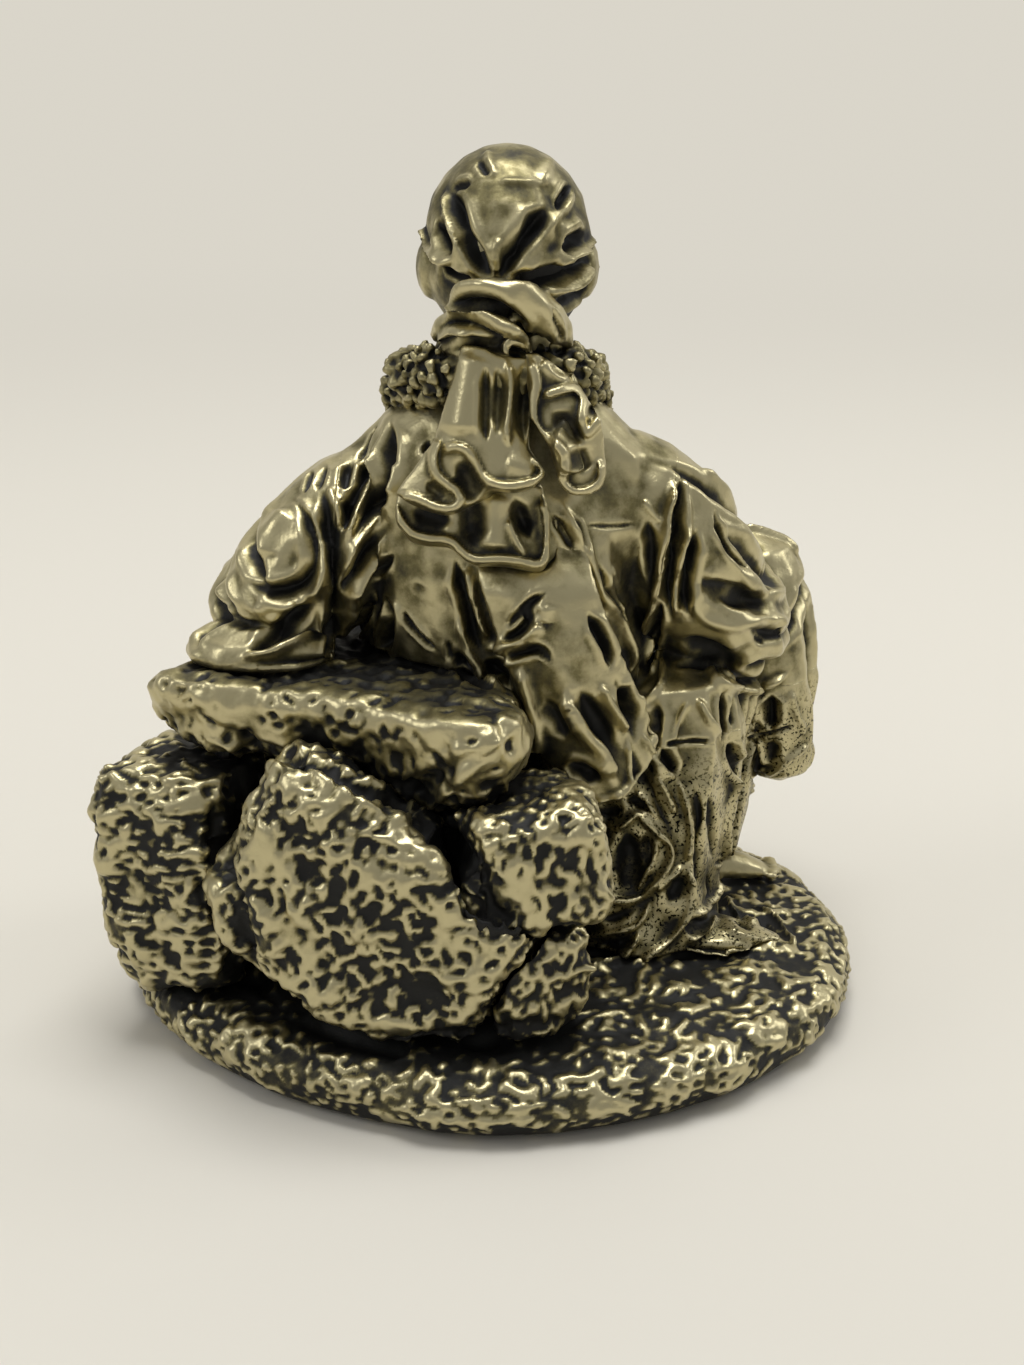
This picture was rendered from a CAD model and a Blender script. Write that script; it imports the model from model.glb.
"""Looks of a cast brass statue of a seated saint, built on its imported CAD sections.

Each group of sections is a class. It merges copies of its CAD nodes into one casting, works folds, hems and
stone into it with strokes of a modelling tool, cuts it back into its sections and dresses them in antique
brass. A stroke is given where it shows: from behind in the photograph's pixels, elsewhere in millimetres.
"""

import logging
import math
from collections.abc import Iterator
from dataclasses import dataclass, field, replace
from enum import Enum

import bmesh
import bpy
import numpy as np
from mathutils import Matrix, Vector
from mathutils.bvhtree import BVHTree


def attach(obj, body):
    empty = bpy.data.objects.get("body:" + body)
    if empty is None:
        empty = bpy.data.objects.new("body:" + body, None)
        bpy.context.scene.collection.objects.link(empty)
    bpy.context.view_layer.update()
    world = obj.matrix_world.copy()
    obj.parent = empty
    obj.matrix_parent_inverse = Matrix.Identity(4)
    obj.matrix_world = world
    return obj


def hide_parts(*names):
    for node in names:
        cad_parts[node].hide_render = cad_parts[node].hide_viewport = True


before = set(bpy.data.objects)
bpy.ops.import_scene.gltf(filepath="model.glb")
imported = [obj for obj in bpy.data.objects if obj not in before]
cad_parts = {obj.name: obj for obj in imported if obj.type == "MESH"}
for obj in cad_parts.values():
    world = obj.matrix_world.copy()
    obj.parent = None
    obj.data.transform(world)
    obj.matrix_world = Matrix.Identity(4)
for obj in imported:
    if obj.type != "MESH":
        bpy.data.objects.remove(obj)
log = logging.getLogger("statue")

MM = 0.001
BODY = "root"
Points = list[tuple[float, ...]]
Colour = tuple[float, float, float, float]

# The middle of the head, in millimetres.
HEAD = np.array([1.6, 1.8, 87.6])
# Vertices closer than this are one vertex, in metres.
WELD = 2e-6
# The size of cell that smoothing steps are counted for, in millimetres.
USUAL_CELL = 0.45


# Tools of the modeller.


@dataclass(frozen=True)
class Eye:
    """The photograph's camera, in millimetres, degrees and pixels."""

    at: tuple[float, float, float] = (2.1, -209.3, 112.0)
    pitch: float = 19.5
    focal: float = 1875.0
    width: int = 1024
    height: int = 1365

    def ray(self, across: float, down: float) -> tuple[Vector, Vector]:
        """Looks through a pixel.

        Args:
            across: How far right the pixel is.
            down: How far down the pixel is.

        Returns:
            The start and the direction of the sight line.
        """
        tilt = math.radians(self.pitch)
        forward = Vector((0, math.cos(tilt), -math.sin(tilt)))
        upward = Vector((0, math.sin(tilt), math.cos(tilt)))
        right = Vector((1, 0, 0))
        way = forward + right * ((across - self.width / 2) / self.focal)
        way += upward * ((self.height / 2 - down) / self.focal)
        return Vector(self.at), way.normalized()

    def seen(self, places: np.ndarray) -> np.ndarray:
        """Finds where places are seen.

        Args:
            places: The places, in millimetres.

        Returns:
            The pixel of each place.
        """
        tilt = math.radians(self.pitch)
        aside = places - np.array(self.at)
        far = aside @ np.array([0, math.cos(tilt), -math.sin(tilt)])
        up = aside @ np.array([0, math.sin(tilt), math.cos(tilt)])
        across = self.width / 2 + self.focal * aside[:, 0] / far
        down = self.height / 2 - self.focal * up / far
        return np.stack([across, down], 1)


EYE = Eye()
# How far outside the statue the flat sight lines start, in millimetres.
OUTSIDE = 150.0
# How far apart the points of a stroke are taken, in pixels and in millimetres.
PIXEL_STEP = 4.0
FLAT_STEP = 0.45


class Side(Enum):
    """The side that a stroke is seen from, and what its two numbers are there."""

    PHOTO = "pixels of the photograph"
    FRONT = "x and z"
    LEFT = "y and z, from the left of the figure"
    RIGHT = "y and z, from the right of the figure"

    def sight(self, a: float, b: float) -> tuple[Vector, Vector]:
        """Looks at a flat point from this side.

        Args:
            a: The first number of the point.
            b: The second number of the point.

        Returns:
            The start and the direction of the sight line.
        """
        if self is Side.PHOTO:
            return EYE.ray(a, b)
        return {
            Side.FRONT: (Vector((a, OUTSIDE, b)), Vector((0, -1, 0))),
            Side.LEFT: (Vector((-OUTSIDE, a, b)), Vector((1, 0, 0))),
            Side.RIGHT: (Vector((OUTSIDE, a, b)), Vector((-1, 0, 0))),
        }[self]

    @property
    def step(self) -> float:
        """How far apart a stroke's points are taken, in its own units."""
        return PIXEL_STEP if self is Side.PHOTO else FLAT_STEP


class Cut(Enum):
    """What the tool leaves: a hollow between lips, a rounded ridge, a lap of cloth, or a flat band."""

    CREASE = "crease"
    RIDGE = "ridge"
    LAP = "lap"
    BAND = "band"


@dataclass(frozen=True)
class Section:
    """The shapes that the tool leaves across a stroke, measured in half widths."""

    hollow_power: float = 1.6
    hollow_fall: float = 1.3
    lip_at: float = 1.9
    lip_wide: float = 0.7
    ridge_fall: float = 1.4
    band_edge: float = 1.3
    band_soft: float = 0.6
    over_fall: float = 0.8
    under_fall: float = 1.5
    lap_steep: float = 3.0
    tip: float = 0.3


SECTION = Section()


@dataclass(frozen=True)
class Stroke:
    """One stroke: its kind, half its width, its depth or height, its line, its lips and its fading ends."""

    cut: Cut
    wide: float
    deep: float
    line: tuple[tuple[float, float], ...]
    lip: float = 0.28
    ends: float = 0.27

    def profile(self, aside: np.ndarray, place: np.ndarray) -> np.ndarray:
        """Works out how far the stroke moves a surface out.

        Args:
            aside: The signed distances from the line, in millimetres.
            place: The shares of the line at which they are taken.

        Returns:
            The distances that the surface moves, in millimetres.
        """
        fade = softstep(place, 0, self.ends) * softstep(1 - place, 0, self.ends)
        share = aside / (self.wide * (SECTION.tip + (1 - SECTION.tip) * fade))
        far = np.abs(share)
        if self.cut is Cut.CREASE:
            hollow = np.exp(-(far**SECTION.hollow_power) * SECTION.hollow_fall)
            lips = np.exp(-(((far - SECTION.lip_at) / SECTION.lip_wide) ** 2))
            return self.deep * fade * (self.lip * lips - hollow)
        if self.cut is Cut.RIDGE:
            return self.deep * fade * np.exp(-(share**2) * SECTION.ridge_fall)
        if self.cut is Cut.BAND:
            return self.deep * fade * softstep(SECTION.band_edge - far, 0.0, SECTION.band_soft)
        over, under = np.exp(-share * SECTION.over_fall), -np.exp(share * SECTION.under_fall)
        return self.deep * fade * (np.where(share > 0, over, under) * np.tanh(far * SECTION.lap_steep))


def crease(wide: float, deep: float, *line: tuple[float, float], lip: float = Stroke.lip) -> Stroke:
    """Returns a hollow with a lip on each side."""
    return Stroke(Cut.CREASE, wide, deep, line, lip)


def ridge(wide: float, high: float, *line: tuple[float, float]) -> Stroke:
    """Returns a rounded ridge."""
    return Stroke(Cut.RIDGE, wide, high, line, ends=0.16)


def band(wide: float, high: float, *line: tuple[float, float]) -> Stroke:
    """Returns a flat-topped band of one width."""
    return Stroke(Cut.BAND, wide, high, line, ends=0.06)


def well(wide: float, deep: float, *line: tuple[float, float]) -> Stroke:
    """Returns a rounded hollow without lips."""
    return Stroke(Cut.RIDGE, wide, -deep, line, ends=0.36)


def lap(wide: float, high: float, *line: tuple[float, float]) -> Stroke:
    """Returns a lap, raised on the left of its line as the line runs."""
    return Stroke(Cut.LAP, wide, high, line)


def pair(stroke: Stroke) -> list[Stroke]:
    """Returns a stroke seen from the front and its mirror image on the other half of the head."""
    mirrored = tuple((round(2 * float(HEAD[0]) - x, 1), z) for x, z in stroke.line)
    return [stroke, replace(stroke, line=mirrored)]


def smooth_line(line: tuple[tuple[float, ...], ...], step: float) -> np.ndarray:
    """Draws a smooth line through points.

    Args:
        line: The points that the line passes through.
        step: How far apart the returned points are.

    Returns:
        The closely spaced points of the line.
    """
    given = np.array(line, float)
    if len(given) == 2:
        given = np.array([given[0], given.mean(0), given[1]])
    padded = np.vstack([2 * given[0] - given[1], given, 2 * given[-1] - given[-2]])
    made = []
    for p, q, r, s in zip(padded, padded[1:], padded[2:], padded[3:]):
        count = max(2, int(np.linalg.norm(r - q) / step))
        t = np.linspace(0, 1, count, endpoint=False)[:, None]
        bend = 2 * q + (r - p) * t + (2 * p - 5 * q + 4 * r - s) * t**2 + (3 * (q - r) + s - p) * t**3
        made.append(0.5 * bend)
    return np.vstack([*made, given[-1:]])


def lengths_along(points: np.ndarray) -> np.ndarray:
    """Returns how far along a line each of its points lies."""
    return np.concatenate([[0], np.cumsum(np.linalg.norm(np.diff(points, axis=0), axis=1))])


def softstep(values: np.ndarray, low: float, high: float) -> np.ndarray:
    """Returns values as a smooth step from 0 at low to 1 at high."""
    t = np.clip((values - low) / (high - low), 0, 1)
    return t * t * (3 - 2 * t)


def steps_for(count: int, cell: float) -> int:
    """Returns how many smoothing steps on cells of one size reach as far as a count does on usual cells."""
    return int(count * (USUAL_CELL / cell) ** 2)


@dataclass
class Run:
    """A stretch of a stroke on the surface: its points, their normals and their shares of the line."""

    at: np.ndarray
    out: np.ndarray
    share: np.ndarray


class Skin:
    """The surface of a casting held in arrays, in millimetres."""

    # The shares of the way to its neighbours' mean that a vertex is pulled, and then pushed back.
    pull = 0.5
    push = 0.52

    def __init__(self, piece: bpy.types.Object) -> None:
        """Reads a piece's mesh.

        Args:
            piece: The piece.
        """
        self.mesh = piece.data
        count = len(self.mesh.vertices)
        self.at = self._read(self.mesh.vertices, "co", count, 3) / MM
        self.edges = self._read(self.mesh.edges, "vertices", len(self.mesh.edges), 2, np.int32)
        self.links = np.maximum(np.bincount(self.edges.ravel(), minlength=count), 1)
        self.refresh()

    @staticmethod
    def _read(
        items: bpy.types.bpy_prop_collection, name: str, count: int, size: int, kind: type = np.float32
    ) -> np.ndarray:
        """Reads one property of a mesh's items.

        Args:
            items: The items.
            name: The property.
            count: How many items there are.
            size: How many numbers each item has.
            kind: The type that the mesh keeps them in.

        Returns:
            A row of numbers for each item.
        """
        values = np.empty(count * size, kind)
        items.foreach_get(name, values)
        return values.reshape(count, size).astype(np.int64 if kind is np.int32 else np.float64)

    def refresh(self) -> None:
        """Writes the places to the mesh and reads its normals again."""
        self.mesh.vertices.foreach_set("co", (self.at * MM).astype(np.float32).ravel())
        self.mesh.update()
        self.out = self._read(self.mesh.vertex_normals, "vector", len(self.at), 3)

    def averaged(self, values: np.ndarray) -> np.ndarray:
        """Averages values over each vertex's neighbours.

        Args:
            values: A number or a row of numbers for each vertex.

        Returns:
            The mean of each vertex's neighbours.
        """
        first, second = self.edges.T
        columns = []
        for column in values.reshape(len(values), -1).T:
            total = np.bincount(first, column[second], len(values))
            total = total + np.bincount(second, column[first], len(values))
            columns.append(total / self.links)
        return np.stack(columns, 1).reshape(values.shape)

    def smooth(self, steps: int) -> None:
        """Relaxes the surface, and swells it back to its size after each pair of steps.

        Args:
            steps: How many steps it takes.
        """
        for step in range(steps):
            share = self.pull if step % 2 == 0 else -self.push
            self.at += share * (self.averaged(self.at) - self.at)
        self.refresh()

    def relax(self, steps: int) -> None:
        """Rounds the surface off, so that facets and small steps go.

        Args:
            steps: How many steps it takes.
        """
        for _ in range(steps):
            self.at += self.pull * (self.averaged(self.at) - self.at)
        self.refresh()

    def move(self, distance: np.ndarray) -> None:
        """Moves each vertex along its normal, in millimetres."""
        self.at += self.out * distance[:, None]
        self.refresh()

    def hollow(self, steps: int) -> np.ndarray:
        """Measures how deep each vertex lies below a smoothed surface.

        Args:
            steps: How many steps the surface is smoothed.

        Returns:
            The depths, in millimetres.
        """
        smoothed = self.at.copy()
        for _ in range(steps):
            smoothed += self.pull * (self.averaged(smoothed) - smoothed)
        return ((smoothed - self.at) * self.out).sum(1)

    def kept(self, name: str) -> np.ndarray:
        """Reads the values stored under a name.

        Args:
            name: The name.

        Returns:
            A value for each vertex, or zeros where none are stored.
        """
        layer = self.mesh.attributes.get(name)
        if layer is None:
            return np.zeros(len(self.at))
        return self._read(layer.data, "value", len(self.at), 1)[:, 0]

    def write(self, name: str, values: np.ndarray) -> None:
        """Stores a value for each vertex under a name that a material reads."""
        layer = self.mesh.attributes.get(name) or self.mesh.attributes.new(name, "FLOAT", "POINT")
        layer.data.foreach_set("value", values.astype(np.float32))


@dataclass(frozen=True)
class Waves:
    """Wandering values in space, all of about one wavelength in millimetres."""

    length: float
    seed: int
    spread: float = 0.3
    count: int = 26
    stretch: tuple[float, float, float] = (1.0, 1.0, 1.0)
    peak: float = 1.6

    def over(self, at: np.ndarray) -> np.ndarray:
        """Adds up the waves.

        Args:
            at: The places, in millimetres.

        Returns:
            A value of about -1 to 1 at each place.
        """
        dice = np.random.default_rng(self.seed)
        ways = dice.normal(size=(self.count, 3))
        ways /= np.linalg.norm(ways, axis=1)[:, None]
        pitch = 2 * np.pi / (self.length * (1 + self.spread * dice.uniform(-1, 1, self.count)))
        phase = dice.uniform(0, 2 * np.pi, self.count)
        turns = (at / np.array(self.stretch)) @ (ways * pitch[:, None]).T + phase
        return np.cos(turns).sum(1) / math.sqrt(self.count / 2) / self.peak


def solid_tree(pieces: list[bpy.types.Object]) -> BVHTree:
    """Makes the shape of pieces ready for rays to find.

    Args:
        pieces: The pieces.

    Returns:
        Their shape, in millimetres.
    """
    form = bmesh.new()
    for piece in pieces:
        form.from_mesh(piece.data)
    bmesh.ops.scale(form, vec=(1 / MM,) * 3, verts=form.verts)
    tree = BVHTree.FromBMesh(form)
    form.free()
    return tree


@dataclass
class Sculptor:
    """Lays strokes on castings and moves their surfaces along them."""

    pieces: list[bpy.types.Object]
    strokes: dict[Side, list[Stroke]]
    # The step from one point to the next at which a line breaks off, in millimetres.
    jump: float = 4.0
    # How far a stroke is felt, in half widths.
    reach: float = 3.2
    # How fast a stroke fades out where a surface turns away from it.
    turned: float = 2.0
    # The spacing of points and the slope of full effect, for strokes pressed from the camera.
    press_step: float = 3.0
    press_facing: float = 0.45

    def __post_init__(self) -> None:
        """Takes the shape of the pieces as the strokes find them, and lays the strokes on it."""
        self.tree = solid_tree(self.pieces)
        self.laid = [
            (stroke, run)
            for side, lines in self.strokes.items()
            for stroke in lines
            for run in self.lay(side, stroke)
        ]

    def lay(self, side: Side, stroke: Stroke) -> list[Run]:
        """Lays a stroke on the surface.

        Args:
            side: The side that the stroke is seen from.
            stroke: The stroke.

        Returns:
            The stretches in which it lies there.
        """
        flat = smooth_line(stroke.line, side.step)
        runs: list[list[tuple[Vector, Vector, float]]] = [[]]
        for index, (a, b) in enumerate(flat):
            place, out, _, _ = self.tree.ray_cast(*side.sight(a, b))
            if place is None:
                continue
            if runs[-1] and (place - runs[-1][-1][0]).length > self.jump:
                runs.append([])
            runs[-1].append((place, out, index / (len(flat) - 1)))
        columns = [list(zip(*run)) for run in runs if len(run) > 2]
        return [Run(self.eased(at), self.eased(out), np.array(shares)) for at, out, shares in columns]

    @staticmethod
    def eased(row: tuple[Vector, ...]) -> np.ndarray:
        """Smooths the jitter out of a row of points or normals.

        Args:
            row: The points or normals.

        Returns:
            The row as an array.
        """
        values = np.array(row)
        for _ in range(3):
            values[1:-1] = (values[:-2] + 2 * values[1:-1] + values[2:]) / 4
        return values

    def along(self, skin: Skin, run: Run, stroke: Stroke) -> np.ndarray:
        """Works out how far one stretch of a stroke moves a surface.

        Args:
            skin: The surface.
            run: The stretch, as it lies.
            stroke: The stroke.

        Returns:
            The distance for each vertex, in millimetres.
        """
        moved = np.zeros(len(skin.at))
        reach = stroke.wide * self.reach
        inside = ((skin.at > run.at.min(0) - reach) & (skin.at < run.at.max(0) + reach)).all(1)
        near = np.flatnonzero(inside)
        if not near.size:
            return moved
        start, way = run.at[:-1], np.diff(run.at, axis=0)
        squared = np.maximum((way**2).sum(1), 1e-9)
        aside = skin.at[near][:, None, :] - start
        share = np.clip((aside * way).sum(2) / squared, 0, 1)
        aside -= share[..., None] * way
        distance = (aside**2).sum(2)
        best = distance.argmin(1)
        rows = np.arange(len(near))
        gap = aside[rows, best]
        length = np.sqrt(distance[rows, best])
        left = np.sign((np.cross(way[best], gap) * run.out[best]).sum(1))
        facing = np.clip((skin.out[near] * run.out[best]).sum(1) * self.turned, 0, 1)
        place = run.share[best] + share[rows, best] * (run.share[best + 1] - run.share[best])
        moved[near] = stroke.profile(length * left, place) * facing * (length < reach)
        return moved

    @classmethod
    def press(cls, skin: Skin, strokes: list[Stroke]) -> None:
        """Presses strokes into a surface from the photograph's camera, whatever lies before it.

        Args:
            skin: The surface.
            strokes: The strokes, in the photograph's pixels.
        """
        toward = np.array(EYE.at) - skin.at
        distance = np.linalg.norm(toward, axis=1)
        toward /= distance[:, None]
        seen, facing = EYE.seen(skin.at), softstep((skin.out * toward).sum(1), 0.0, cls.press_facing)
        size = float(distance.mean()) / EYE.focal
        moved = np.zeros(len(skin.at))
        for stroke in strokes:
            line = smooth_line(stroke.line, cls.press_step)
            start, way = line[:-1], np.diff(line, axis=0)
            aside = seen[:, None, :] - start
            share = np.clip((aside * way).sum(2) / (way**2).sum(1), 0, 1)
            gap = (aside - share[..., None] * way) * size
            squared = (gap**2).sum(2)
            best = squared.argmin(1)
            rows = np.arange(len(best))
            place = (best + share[rows, best]) / len(way)
            moved += stroke.profile(np.sqrt(squared[rows, best]), place) * facing
        skin.at += toward * moved[:, None]
        skin.refresh()
        skin.write("worked", moved)

    def work(self, skin: Skin) -> None:
        """Works all strokes into a surface.

        Args:
            skin: The surface.
        """
        moved = np.zeros(len(skin.at))
        for stroke, run in self.laid:
            moved += self.along(skin, run, stroke)
        skin.move(moved)
        skin.write("worked", moved)


@dataclass
class Shade:
    """How much of the space round a place the castings fill, from which deep corners get their dark."""

    pieces: list[bpy.types.Object]
    # The grid: its cell, its lowest corner and its size, in millimetres, and the reach of its blur in cells.
    pitch: float = 1.1
    low: tuple[float, float, float] = (-52.0, -48.0, -6.0)
    wide: tuple[float, float, float] = (104.0, 96.0, 116.0)
    blur: int = 3
    # How full the space under the statue counts.
    underneath: float = 0.6
    # How far in front of a surface the space is looked at, in millimetres.
    ahead: float = 3.6
    # Where upright lines start, and how far past a surface they go on, in millimetres.
    start: float = -10.0
    past: float = 1e-3

    def __post_init__(self) -> None:
        """Fills a grid with the castings and blurs it."""
        tree = solid_tree(self.pieces)
        size = (np.array(self.wide) / self.pitch).astype(int)
        full = np.zeros(size, np.float32)
        levels = self.low[2] + self.pitch * (np.arange(size[2]) + 0.5)
        for i in range(size[0]):
            for j in range(size[1]):
                x, y = np.array(self.low[:2]) + self.pitch * (np.array([i, j]) + 0.5)
                for bottom, top in self.spans(tree, x, y):
                    full[i, j, (levels > bottom) & (levels < top)] = 1
        full[:, :, levels < 0] = self.underneath
        for _ in range(2):
            for axis in range(3):
                shifted = (np.roll(full, shift, axis) for shift in range(-self.blur, self.blur + 1))
                full = sum(shifted) / (2 * self.blur + 1)
        self.full = full

    def spans(self, tree: BVHTree, x: float, y: float) -> Iterator[tuple[float, float]]:
        """Follows an upright line through the castings.

        Args:
            tree: The shape of the castings.
            x: Where the line stands.
            y: Where the line stands.

        Returns:
            The height at which it enters and the height at which it leaves, for each span inside.
        """
        height, inside, entered = self.start, 0, 0.0
        while True:
            hit, out, _, _ = tree.ray_cast(Vector((x, y, height)), Vector((0, 0, 1)))
            if hit is None:
                return
            if out.z < 0:
                entered = hit.z if inside <= 0 else entered
                inside += 1
            else:
                inside -= 1
                if inside <= 0:
                    yield entered, hit.z
                    inside = 0
            height = hit.z + self.past

    def at(self, places: np.ndarray) -> np.ndarray:
        """Reads the grid.

        Args:
            places: The places, in millimetres.

        Returns:
            The filled share round each place.
        """
        cell = (places - np.array(self.low)) / self.pitch - 0.5
        base = np.clip(np.floor(cell).astype(int), 0, np.array(self.full.shape) - 2)
        part = np.clip(cell - base, 0, 1)
        total = np.zeros(len(places))
        for dx in (0, 1):
            for dy in (0, 1):
                for dz in (0, 1):
                    corner = np.array([dx, dy, dz])
                    weight = np.abs(1 - corner - part).prod(1)
                    total += weight * self.full[tuple((base + corner).T)]
        return total

    def before(self, skin: Skin) -> np.ndarray:
        """Returns the filled share of the space in front of each vertex of a surface."""
        return self.at(skin.at + skin.out * self.ahead)


def link(piece: bpy.types.Object) -> bpy.types.Object:
    """Puts a new object in the scene."""
    bpy.context.scene.collection.objects.link(piece)
    return piece


def merged(node: str, grow: float) -> bmesh.types.BMesh:
    """Copies a CAD node's mesh with its vertices merged.

    Args:
        node: The node.
        grow: How far the copy is grown, in millimetres.

    Returns:
        The copy.
    """
    form = bmesh.new()
    form.from_mesh(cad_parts[node].data)
    bmesh.ops.remove_doubles(form, verts=form.verts, dist=WELD)
    form.normal_update()
    for vert in form.verts:
        vert.co += vert.normal * grow * MM
    return form


def evened(name: str, form: bmesh.types.BMesh, cell: float) -> bpy.types.Object:
    """Gives a casting an even, closed surface.

    Args:
        name: The name of the casting.
        form: The closed forms that it is made of, which are used up.
        cell: The size of its surface's cells, in millimetres.

    Returns:
        The casting.
    """
    mesh = bpy.data.meshes.new(name)
    form.to_mesh(mesh)
    form.free()
    rough = link(bpy.data.objects.new(name + "_rough", mesh))
    remesh = rough.modifiers.new("even", "REMESH")
    remesh.mode = "VOXEL"
    remesh.voxel_size = cell * MM
    remesh.adaptivity = 0
    even = bpy.data.meshes.new_from_object(rough.evaluated_get(bpy.context.evaluated_depsgraph_get()))
    even.name = name
    bpy.data.objects.remove(rough)
    index = even.attributes.get("material_index")
    if index is not None:
        even.attributes.remove(index)
    for face in even.polygons:
        face.use_smooth = True
    return link(bpy.data.objects.new(name, even))


def casting(name: str, nodes: list[str], cell: float, grow: float = 0.0) -> bpy.types.Object:
    """Makes one even casting from copies of CAD nodes.

    Args:
        name: The name of the casting.
        nodes: The CAD nodes.
        cell: The size of its surface's cells, in millimetres.
        grow: How far each copy is grown, in millimetres.

    Returns:
        The casting.
    """
    form = bmesh.new()
    for node in nodes:
        part = merged(node, grow)
        copy = bpy.data.meshes.new("part")
        part.to_mesh(copy)
        part.free()
        form.from_mesh(copy)
        bpy.data.meshes.remove(copy)
    return evened(name, form, cell)


# Finishes.


class Finish:
    """A material and its shader, with short ways to add nodes."""

    def __init__(self, name: str) -> None:
        """Starts a material with its shader.

        Args:
            name: The material's name.
        """
        self.material = bpy.data.materials.new(name)
        self.material.use_nodes = True
        self.nodes = self.material.node_tree.nodes
        self.links = self.material.node_tree.links
        self.shader = self.nodes["Principled BSDF"]

    def add(self, kind: str, **values: object) -> bpy.types.Node:
        """Adds a node and sets its options and inputs.

        Args:
            kind: The node's type.
            values: Options by name, or inputs by name with spaces as underscores.

        Returns:
            The node.
        """
        node = self.nodes.new(kind)
        for key, value in values.items():
            if key in node.bl_rna.properties:
                setattr(node, key, value)
            else:
                node.inputs[key.replace("_", " ")].default_value = value
        return node

    def join(self, output: bpy.types.NodeSocket, target: bpy.types.NodeSocket) -> None:
        """Links one socket to another."""
        self.links.new(output, target)

    def mapped(self, value: bpy.types.NodeSocket, **limits: object) -> bpy.types.NodeSocket:
        """Maps a value from one span to another.

        Args:
            value: The value.
            limits: The options and limits of the mapping.

        Returns:
            The mapped value.
        """
        node = self.add("ShaderNodeMapRange", **limits)
        self.join(value, node.inputs["Value"])
        return node.outputs["Result"]

    def axis(self, name: str) -> bpy.types.NodeSocket:
        """Splits one axis off the place on the object.

        Args:
            name: The axis.

        Returns:
            The place along it, in metres.
        """
        where, split = self.add("ShaderNodeTexCoord"), self.add("ShaderNodeSeparateXYZ")
        self.join(where.outputs["Object"], split.inputs["Vector"])
        return split.outputs[name]

    def coloured(self, value: bpy.types.NodeSocket, stops: dict[float, Colour]) -> None:
        """Colours the shader by a value.

        Args:
            value: The value.
            stops: The colour at each value, from the lowest to the highest.
        """
        tone = self.add("ShaderNodeValToRGB")
        ramp = tone.color_ramp.elements
        (low, first), *between, (high, last) = stops.items()
        ramp[0].position, ramp[0].color = low, first
        ramp[1].position, ramp[1].color = high, last
        for position, colour in between:
            ramp.new(position).color = colour
        self.join(value, tone.inputs["Fac"])
        self.join(tone.outputs["Color"], self.shader.inputs["Base Color"])

    def bumped(self, height: bpy.types.NodeSocket, strength: float, distance: float) -> None:
        """Gives the shader a bump.

        Args:
            height: The height that shapes it.
            strength: How strong it is.
            distance: How high it is, in metres.
        """
        bump = self.add("ShaderNodeBump", Strength=strength, Distance=distance)
        self.join(height, bump.inputs["Height"])
        self.join(bump.outputs["Normal"], self.shader.inputs["Normal"])


def socket(tree: bpy.types.NodeTree, name: str, way: str, value: float | None = None) -> None:
    """Adds a named number to a node group.

    Args:
        tree: The group.
        name: The number's name.
        way: Whether the group takes it in or puts it out.
        value: What it is when nothing else is said.
    """
    made = tree.interface.new_socket(name, in_out=way, socket_type="NodeSocketFloat")
    if value is not None:
        made.default_value = value


def tarnish_group() -> bpy.types.NodeTree:
    """Builds the group that turns the worked-in tarnish into a mottled mask and a fine grain.

    Returns:
        The group.
    """
    tree = bpy.data.node_groups.new("tarnish", "ShaderNodeTree")
    socket(tree, "Mottle Scale", "INPUT", 300.0)
    socket(tree, "Mottle", "INPUT", 0.2)
    socket(tree, "Grain Scale", "INPUT", 2600.0)
    socket(tree, "Mask", "OUTPUT")
    socket(tree, "Grain", "OUTPUT")
    nodes, links = tree.nodes, tree.links
    given, put = nodes.new("NodeGroupInput"), nodes.new("NodeGroupOutput")
    where = nodes.new("ShaderNodeTexCoord")
    worked = nodes.new("ShaderNodeAttribute")
    worked.attribute_name = "tarnish"
    cloud, grain = nodes.new("ShaderNodeTexNoise"), nodes.new("ShaderNodeTexNoise")
    cloud.inputs["Detail"].default_value = 5
    cloud.inputs["Roughness"].default_value = 0.62
    grain.inputs["Detail"].default_value = 2
    for noise, scale in ((cloud, "Mottle Scale"), (grain, "Grain Scale")):
        links.new(where.outputs["Object"], noise.inputs["Vector"])
        links.new(given.outputs[scale], noise.inputs["Scale"])
    centred = nodes.new("ShaderNodeMath")
    centred.operation = "SUBTRACT"
    centred.inputs[1].default_value = 0.5
    scaled = nodes.new("ShaderNodeMath")
    scaled.operation = "MULTIPLY_ADD"
    clear = nodes.new("ShaderNodeMapRange")
    clear.interpolation_type = "SMOOTHSTEP"
    links.new(cloud.outputs["Fac"], centred.inputs[0])
    links.new(centred.outputs[0], scaled.inputs[0])
    links.new(given.outputs["Mottle"], scaled.inputs[1])
    links.new(worked.outputs["Fac"], scaled.inputs[2])
    links.new(scaled.outputs[0], clear.inputs["Value"])
    links.new(clear.outputs["Result"], put.inputs["Mask"])
    links.new(grain.outputs["Fac"], put.inputs["Grain"])
    return tree


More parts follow.
